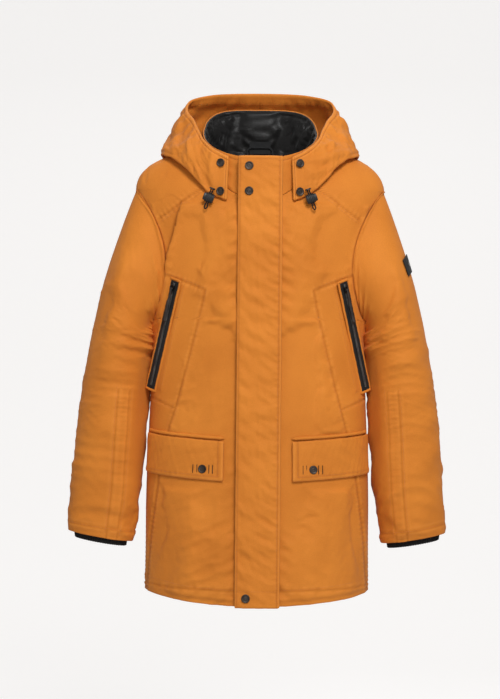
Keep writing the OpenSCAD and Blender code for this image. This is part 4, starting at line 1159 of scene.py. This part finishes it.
d = d + 0.55 * np.sin(run / 1.9 + np.sin(run / 17)) * bell(stitchAt, 7)
edge = np.minimum(k, 1 - k) * 1050
d = d - 0.8 * bell(edge - 5, 1.4) + 0.3 * np.sin(high / 1.7) * bell(edge - 5, 5)
q = p + n * d[..., None]
m = gridNormals(q, towards=np.array([0, midY, -20.0]))
# painted shade in the grooves of the rim's and edges' stitching, painted highlight beside them and along the
# very rim
side = np.minimum(np.abs(stitchAt), np.abs(edge - 5))
shade = np.clip(0.5 * bell(side - 4, 2.4) - 0.85 * bell(side, 1.6) + 0.5 * bell((1 - v) * 150, 2.5), -1, 1)
inner = q - m * (hood["thick"] + 0.9 * ripple(run, high, 404, 8, 24, 60, 0.2, 0.9) * ease(near / 12))[...,
        None]
piece = makePiece("hood_wall", [shellPart(q, inner, shade=shade)], shellCloth)
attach(piece, "hood")
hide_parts("hood_shell", "hood_lining")
kk = np.linspace(0.006, 0.994, 700)
vv = np.linspace(0.05, 0.93, 90)
hoodStitches = stitchParts(q, m, [(kk, 0 * kk + 1 - 10 / 150 / 0.97), (0 * vv + 5 / 1050, vv),
                                  (0 * vv + 1 - 5 / 1050, vv)])
kk = np.linspace(0.006, 0.994, 700)
hoodStitches += stitchParts(inner, -m, [(kk, 0 * kk + 1 - 10 / 150 / 0.97)])
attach(makePiece("hood_stitching", hoodStitches, threadMat), "hood")

# the neck panel joins the hood's wall round the collar's foot
k = mix(0.12, 0.88, np.linspace(0, 1, 150))[None, :] * np.ones((22, 1))
v = np.linspace(0, 1, 22)[:, None] * np.ones((1, 150))
a, b = hoodLine(hood["neck"], k), hoodWall(k, 0 * k + 0.035)
p = mix(a, b - 3 * unit(b - a), v[..., None])
p[..., 2] -= 6 * np.minimum(k, 1 - k) * 2 * np.sin(math.pi * v)
n = gridNormals(p)
n = n * np.sign(np.mean(n[..., 2]))
p = p + n * (1.0 * ripple(k * 900, v * 70, 421, 8, 30, 70, 0.2, 0.6) * ease(v / 0.2) * ease((1 - v) / 0.2)
             - 0.2)[..., None]
piece = makePiece("hood_neck_cloth", [shellPart(p + 0.4 * n, p - 1.2 * n)], shellInside)
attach(piece, "hood")
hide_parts("hood_neck_panel")
print("hood made")

# Storm flap
stormFlap = dict(half=43, bottom=-925, top=-37, out=13.2, thick=3.0, cols=46, rows=300,
                 sewn=(37.5, 41.0), capX=-22, capZ=(-57, -107, -908), capRoom=16)
x = np.linspace(-stormFlap["half"], stormFlap["half"], stormFlap["cols"])[None,
        :] * np.ones((stormFlap["rows"], 1))
z = np.linspace(stormFlap["bottom"], stormFlap["top"], stormFlap["rows"])[:,
        None] * np.ones((1, stormFlap["cols"]))
y = midY - coat["frontDepth"] + coat["lean"] * (z - coat["hemZ"]) + 112 * (1
        - np.sqrt(1 - (x / 232) ** 2)) - stormFlap["out"]
p = stack(x, y, z)
n = gridNormals(p, towards=np.array([0, midY, -480.0]))
edge = np.minimum(stormFlap["half"] - np.abs(x), stormFlap["top"] - z)
d = 0.8 * ripple(x, z, 501, 7, 60, 160, 1.2, 0.4) + 0.75 * ripple(x, z, 502, 8, 20, 44, 1.3, 0.5)
d = d + 0.25 * ripple(x, z, 503, 10, 9, 18, 0.8, 1.2)
d = d + 2.2 * crumple(x, z, 505, 50, 120, 0.7, 0.5) + 1.6 * crumple(x, z, 506, 22, 50, 1.1, 0.6)
d = d + 0.7 * bell(x - 1 - 2 * np.sin(z / 170), 3.0) * (0.7 + 0.3 * np.sin(z / 61))
d = d * ease(edge / 9)
# the cloth lies flat under each cap
for at in stormFlap["capZ"]:
    d = d * (1 - bell(np.hypot(x - stormFlap["capX"], z - at), stormFlap["capRoom"]))
for at in stormFlap["sewn"]:
    d = d - 0.55 * bell(x - at, 0.9)
d = d + 0.45 * np.sin(z / 1.9 + 1.3 * np.sin(z / 27)) * (bell(x - 36, 9) + 0.6 * bell(x + 39, 6))
d = d - 0.4 * bell(x + 40, 0.9) - 0.5 * bell(stormFlap["top"] - z - 5, 1.0)
d = d - 0.5 * bell(z - stormFlap["bottom"] - 31, 1.2)
d = d - 0.5 * bell(edge, 1.4)
q = p + n * d[..., None]
m = gridNormals(q, towards=np.array([0, midY, -480.0]))
# painted highlight along the flap's edges, painted shade in the grooves of its two stitch lines
line = np.minimum(np.abs(x - 39), np.abs(x + 40))
shade = np.clip(0.4 * bell(edge, 2.2) - 0.6 * bell(line, 1.4), -1, 1)
piece = makePiece("storm_flap_cloth", [shellPart(q, q - stormFlap["thick"] * m, shade=shade)], shellCloth)
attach(piece, "storm_flap")
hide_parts("storm_flap")
run = np.linspace(0.004, 0.994, 500)
across = np.linspace(0.04, 0.96, 60)
at = lambda value: 0 * run + (value + stormFlap["half"]) / (2 * stormFlap["half"])
lines = [(at(s), run) for s in (*stormFlap["sewn"], -40.2)] + [(across, 0 * across + 1 - 5 / 888),
        (across, 0 * across + 31 / 888)]
piece = makePiece("storm_flap_stitching", stitchParts(q, m, lines), threadMat)
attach(piece, "storm_flap")
print("storm flap made")

# Cargo pockets
pocket = dict(from_=17.7, to=78.5, top=-603, slant=12, high=77, out=5.2, thick=3.0, cols=92, rows=34)


def onCoat(th, z, out):
    p = bodyPoint(th, z, -1)
    e = 0.01
    n = np.cross(bodyPoint(th + e, z, -1) - bodyPoint(th - e, z, -1), bodyPoint(th, z + 1, -1)
                 - bodyPoint(th, z - 1, -1))
    n = unit(n)
    n = n * np.where(n[..., 1:2] > 0, -1, 1)
    return p + n * np.asarray(out)[..., None], n


def flapTop(th):
    return pocket["top"] + pocket["slant"] * (np.degrees(th) - pocket["from_"]) / (pocket["to"]
            - pocket["from_"])


def buildPocket(side, word):
    seed = 600 if side > 0 else 620
    u = np.linspace(0, 1, pocket["cols"])[None, :] * np.ones((pocket["rows"], 1))
    v = np.linspace(0, 1, pocket["rows"])[:, None] * np.ones((1, pocket["cols"]))
    th = np.radians(mix(pocket["from_"], pocket["to"], u))
    z = flapTop(th) - pocket["high"] * (1 - v)
    x = u * 196
    high = v * pocket["high"]
    edge = np.minimum(np.minimum(x, 196 - x), high)
    d = 0.7 * ripple(x, high, seed, 7, 40, 110, 0.3, 0.6) + 0.35 * ripple(x, high, seed + 1, 9, 12, 30, 0.4,
            1.0)
    d = d * ease(edge / 10) + 1.0 * bell(high - 5, 5) - 0.5 * bell(edge - 8, 1.2) - 0.7 * bell(edge, 1.6)
    d = d + 0.35 * np.sin(x / 1.9) * bell(high - 8, 5) + 0.9 * bell(high - 62, 12)
    p, n = onCoat(th, z, pocket["out"] + d)
    p, n = p * [side, 1, 1], n * [side, 1, 1]
    back = p - n * (pocket["thick"] + np.clip(d, -0.5, 2))[..., None]
    # painted highlight along the flap's edges, painted shade in the groove of its stitching
    shade = np.clip(0.55 * bell(edge, 2.4) - 0.6 * bell(edge - 8, 1.4), -1, 1)
    piece = makePiece(f"{word}_pocket_flap_cloth", [shellPart(p, back, shade=shade)], shellCloth)
    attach(piece, f"{word}_pocket_flap")
    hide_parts(f"{word}_pocket_flap")
    run, rise = np.linspace(8 / 196, 188 / 196, 160), np.linspace(8 / 77, 0.97, 50)
    lines = [(run, 0 * run + 8 / 77), (0 * rise + 8 / 196, rise), (0 * rise + 188 / 196, rise)]
    piece = makePiece(f"{word}_pocket_flap_stitching", stitchParts(p, n, lines), threadMat)
    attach(piece, f"{word}_pocket_flap")


def weltPart(side):
    th = np.radians(np.linspace(pocket["from_"] - 0.5, pocket["to"] + 0.5, 90))
    path, n = onCoat(th, flapTop(th) + 7, 1.6 + 0.25 * np.sin(th * 60))
    ends = np.clip(np.minimum(np.arange(90), 89 - np.arange(90)) / 3, 0.35, 1)
    part = rodPart(path, (3.4 + 0.2 * np.sin(th * 45)) * ends, 2.6 * ends, 12)
    return part if side > 0 else mirrored(part)


for side, word in ((1, "left"), (-1, "right")):
    buildPocket(side, word)
piece = makePiece("pocket_rolls", [weltPart(1), weltPart(-1)], shellCloth)
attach(piece, "coat")
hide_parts("pocket_welts")
print("cargo pockets made")

# Chest zips
chestZip = dict(high=(165, -285), low=(213, -502), long=226, lift=6.3, tape=11, tooth=1.9)


def zipFrame():
    ends = []
    for x, z in (chestZip["high"], chestZip["low"]):
        th = np.arcsin(x / halfWidth(z))
        ends.append(onCoat(np.array(th), np.array(float(z)), np.array(chestZip["lift"]))[0])
    along = unit(ends[1] - ends[0])
    face = unit(np.cross(np.cross(along, [0.62, -0.785, 0]), along))
    return ends[0], np.cross(along, face), face, along


zipStart, zipSide, zipFace, zipAlong = zipFrame()


def onZip(x, y, z):
    return zipStart + x[..., None] * zipSide + y[..., None] * zipFace + z[..., None] * zipAlong


def zipParts():
    z = np.linspace(0, chestZip["long"], 90)[:, None] * np.ones((1, 19))
    x = np.linspace(-1, 1, 19)[None, :] * chestZip["tape"] * np.ones((90, 1))
    y = 0.55 + 0.9 * bell(x, 3.4) + 0.12 * np.sin(z / 2.1) * bell(np.abs(x) - 7, 4)
    tape = shellPart(onZip(x, y, z), onZip(x, y - 1.1, z))
    # the coil: one rounded bar a tooth, bowed over the tape's middle
    count = int((chestZip["long"] - 8) / chestZip["tooth"])
    bars = []
    for k in range(count):
        s = np.linspace(-1, 1, 5)
        at = 4 + k * chestZip["tooth"]
        path = onZip(2.5 * s + 0 * s, 1.7 + 0.7 * (1 - s * s), at + 0.25 * s)
        bars.append(rodPart(path, 0.62, 0.55, 4, up=tuple(zipAlong)))
    return tape, bars


# rolled edges of the coat's cloth beside the tape, and a turned piece across each end
def zipRolls():
    z = np.linspace(-5, chestZip["long"] + 5, 120)
    parts = []
    for s in (-1, 1):
        path = onZip(s * (chestZip["tape"] + 1.2) + 0.25 * np.sin(z / 7), -0.9
                     + 0.25 * np.sin(z / 2.3) * 0.5 + 0 * z, z)
        parts.append(rodPart(path, 2.6, 1.9, 12, up=tuple(zipFace)))
    for at in (-3.5, chestZip["long"] + 3.5):
        x = np.linspace(-12, 12, 20)
        parts.append(rodPart(onZip(x, 0 * x - 0.2, at + 0 * x), 2.8, 2.3, 12, up=tuple(zipFace)))
    return parts


tape, bars = zipParts()
rolls = zipRolls()
for side, word in ((1, "left"), (-1, "right")):
    turned = (lambda q: q) if side > 0 else mirrored
    piece = makePiece(f"{word}_chest_zip_tape", [turned(tape)], zipTape)
    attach(piece, "coat")
    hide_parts(f"{word}_chest_zip")
    piece = makePiece(f"{word}_chest_zip_coil", [turned(b) for b in bars], zipCoil)
    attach(piece, "coat")
    piece = makePiece(f"{word}_chest_zip_rolls", [turned(r) for r in rolls], shellCloth)
    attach(piece, "coat")
    # the pull: a doubled cord from the slider's bar to a moulded end
    drop = np.linspace(0, 68, 70)
    y = 7.4 + 0 * drop
    end = ease((drop - 24) / 3)
    grip = 1 - 0.10 * (0.5 + 0.5 * np.cos((drop - 46) / 1.15)) * bell(drop - 46, 12)
    wide = mix(1.9, 3.6, end) * grip * np.clip((69 - drop) / 2, 0.3, 1) ** 0.5
    deep = mix(1.0, 1.35, end) * grip * np.clip((69 - drop) / 2, 0.3, 1) ** 0.5
    path = onZip(0 * drop, y, 14 + drop)
    bar = rodPart(onZip(np.linspace(-4, 4, 8), 7.4 + np.zeros(8), 14 + np.zeros(8)), 1.1, 1.1, 12,
                  up=tuple(zipFace))
    piece = makePiece(f"{word}_chest_zip_pull",
                      [turned(bar), turned(rodPart(path, wide, deep, 18, up=tuple(zipFace)))],
                      pullRubber)
    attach(piece, f"{word}_chest_pull")
    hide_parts(f"{word}_chest_pull")
print("chest zips made")

# Snap caps
snapCap = dict(profile=[(0, 1.0), (0.9, 1.05), (1.7, 1.45), (2.6, 1.5), (3.3, 1.1), (5.0, 1.0), (6.0, 1.5),
                        (6.8, 2.1),
                        (7.6, 2.15), (8.2, 1.7), (8.5, 1.0), (8.5, 0.2), (8.0, -0.5), (0, -0.6)])
leanAngle = math.atan(coat["lean"])


def frontSpot(x, z, out):
    up = (z - coat["hemZ"]) / math.cos(leanAngle)
    return (np.array([x, midY - coat["frontDepth"] - out * math.cos(leanAngle) + up * math.sin(leanAngle),
                      coat["hemZ"] + out * math.sin(leanAngle) + up * math.cos(leanAngle)]),
            np.array([0, -math.cos(leanAngle), math.sin(leanAngle)]))


def placeCaps(name, spots, body, node):
    parts = [turnedPart(snapCap["profile"], c, n) for c, n in spots]
    piece = makePiece(name, parts, gunmetal)
    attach(piece, body)
    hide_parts(node)


placeCaps("storm_flap_caps", [frontSpot(stormFlap["capX"], z, 13.5) for z in stormFlap["capZ"]], "storm_flap",
          "storm_flap_snap_caps")
th = np.arcsin(108 / halfWidth(-657.0))
c, n = onCoat(np.array(th), np.array(-657.0), np.array(6.0))
placeCaps("left_pocket_cap", [(c, n)], "left_pocket_flap", "left_flap_snap_cap")
placeCaps("right_pocket_cap", [(c * [-1, 1, 1], n * [-1, 1, 1])], "right_pocket_flap",
          "right_flap_snap_cap")
spots = []
for z in (-49, -106):
    kTab, vTab = 0.5 * (79 - 66) / 35 / 9, (z + 124) / 87
    wall = hoodWall(np.array([kTab]), np.array([vTab]))[0]
    n = np.array([math.sin(math.radians(24)), -math.cos(math.radians(24)), 0])
    spot = np.array([79, wall[1], z]) + np.array([0, -2.8, 0])
    spots += [(spot, n), (spot * [-1, 1, 1], n * [-1, 1, 1])]
placeCaps("hood_caps", spots, "hood", "hood_snap_caps")

# cord locks: an oval ribbed barrel across the cord, and the button that stands out of its open end
lock = dict(drop=18, from_=-10.0, to=8.0, button=12.4, high=9.5, deep=5.5)
tilt = math.radians(drawcord["tilt"])
barrelAlong = np.array([math.cos(tilt), 0, math.sin(tilt)])
cordUp = np.array([-math.sin(tilt), 0, math.cos(tilt)])
lockMiddle = np.array(drawcord["eyelet"], float) - lock["drop"] * cordUp


def lockRod(start, end, high, deep, ribs):
    s = np.linspace(start, end, 64)
    inside = np.clip(np.minimum(s - start, end - s) / 1.6, 0.02, 1)
    size = (1 - (1 - inside) ** 2) ** 0.5 * (1 + ribs * np.cos(2 * math.pi * (s - start) / 3.4))
    return rodPart(lockMiddle + s[:, None] * barrelAlong, high * size, deep * size, 28)


for side, word in ((1, "left"), (-1, "right")):
    turned = (lambda q: q) if side > 0 else mirrored
    piece = makePiece(f"{word}_lock_barrel",
                      [turned(lockRod(lock["from_"], lock["to"], lock["high"], lock["deep"], 0.07))],
                      lockPlastic)
    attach(piece, f"{word}_cord_lock")
    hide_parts(f"{word}_cord_lock")
    piece = makePiece(f"{word}_lock_stem", [turned(lockRod(lock["to"] - 6, lock["button"], 7.6, 3.7, 0.0))],
                      lockPlastic)
    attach(piece, f"{word}_lock_button")
    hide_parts(f"{word}_lock_button")

# short dark bars sewn each side of a pocket's cap
barParts = {1: [], -1: []}
for side in (1, -1):
    for dx in (-20, -13, 10.5, 18.5):
        zz = np.linspace(-8.5, 8.5, 12)
        thBar = np.arcsin((108 + dx) / halfWidth(-657.0)) + 0 * zz
        path, n = onCoat(thBar, -657 + zz, 5.9 + 0 * zz)
        part = rodPart(path, 0.75, 0.6, 8)
        barParts[side].append(part if side > 0 else mirrored(part))
for side, word in ((1, "left"), (-1, "right")):
    piece = makePiece(f"{word}_pocket_bars", barParts[side], darkThread)
    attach(piece, f"{word}_pocket_flap")

# a plain raised ring on the sleeve's badge
ringPhi, ringT = np.radians(mix(3, 37, 0.5)), 0.2385
c = sleevePoint(np.array([[ringPhi]]), np.array([[ringT]]))[0, 0]
e1 = sleevePoint(np.array([[ringPhi + 0.02]]), np.array([[ringT]]))[0, 0] - c
e2 = sleevePoint(np.array([[ringPhi]]), np.array([[ringT + 0.005]]))[0, 0] - c
n = unit(np.cross(e1, e2))
n = n * (1 if n[0] > 0 else -1)
ring = turnedPart([(0, 0.2), (3.4, 0.2), (3.8, 0.75), (4.8, 0.75), (5.2, 0.1), (0, 0.0)], c + 2.5 * n, n,
                  36)
piece = makePiece("sleeve_badge_ring", [ring], badgeMark)
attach(piece, "coat")

piece = makePiece("coat_stitching", bodyStitches, threadMat)
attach(piece, "coat")
print("snaps, bars and stitching made")

# Floor, backdrop and light
studio = dict(floor=-1.6, wide=9.0, near=-5.5, far=2.6, curve=1.2, tall=4.5)
a = np.linspace(0, math.pi / 2, 14)
prof = np.concatenate([[[studio["near"], studio["floor"]]],
                       np.stack([studio["far"] + studio["curve"] * np.sin(a),
                                 studio["floor"] + studio["curve"] * (1 - np.cos(a))], -1),
                       [[studio["far"] + studio["curve"], studio["tall"]]]])
x = np.array([-studio["wide"], studio["wide"]])
grid = stack(x[None, :] * np.ones((len(prof), 1)), prof[:, :1] * np.ones((1, 2)),
             prof[:, 1:] * np.ones((1, 2)))
index = np.arange(grid.shape[0] * 2).reshape(-1, 2)
quads = np.stack([index[:-1, 0], index[:-1, 1], index[1:, 1], index[1:, 0]], -1)
mesh = bpy.data.meshes.new("studio_floor")
mesh.from_pydata(grid.reshape(-1, 3).tolist(), [], quads.tolist())
mesh.polygons.foreach_set("use_smooth", np.full(len(quads), True))
pale, tree, shader = newMaterial("studio_pale")
shader.inputs["Base Color"].default_value = (0.44, 0.435, 0.43, 1)
shader.inputs["Roughness"].default_value = 0.9
shader.inputs["Emission Color"].default_value = (1.0, 0.985, 0.975, 1)
# the backdrop looks brighter to the camera than the light it sheds
ray = addNode(tree, "ShaderNodeLightPath").outputs["Is Camera Ray"]
tree.links.new(calc(tree, "MULTIPLY_ADD", ray, 0.49, 0.16), shader.inputs["Emission Strength"])
mesh.materials.append(pale)
floor = bpy.data.objects.new("studio_floor", mesh)
scene.collection.objects.link(floor)

lights = [dict(name="fill", at=(0.0, -4.0, 0.3), size=1.6, power=17),
          dict(name="top", at=(0.7, -2.9, 2.1), size=1.2, power=104),
          dict(name="left", at=(-2.8, -2.2, 0.6), size=2.0, power=10),
          dict(name="right", at=(2.8, -2.0, 0.2), size=2.0, power=7),
          dict(name="behind", at=(0.0, 1.9, 2.2), size=2.4, power=34)]
for light in lights:
    lamp = bpy.data.lights.new(light["name"], "AREA")
    lamp.size = light["size"]
    lamp.energy = light["power"]
    body = bpy.data.objects.new("light_" + light["name"], lamp)
    body.location = light["at"]
    aim = np.array([0, -0.06, -0.45]) - np.array(light["at"])
    body.rotation_euler = (math.atan2(math.hypot(aim[0], aim[1]), -aim[2]), 0, math.atan2(aim[1], aim[0])
                           - math.pi / 2)
    scene.collection.objects.link(body)
world = bpy.data.worlds.new("studio")
scene.world = world
world.use_nodes = True
world.node_tree.nodes["Background"].inputs[0].default_value = (1.0, 0.99, 0.98, 1)
ray = addNode(world.node_tree, "ShaderNodeLightPath").outputs["Is Camera Ray"]
world.node_tree.links.new(calc(world.node_tree, "MULTIPLY_ADD", ray, 0.64, 0.26),
                          world.node_tree.nodes["Background"].inputs[1])
scene.view_settings.view_transform = "Standard"
print("studio made")
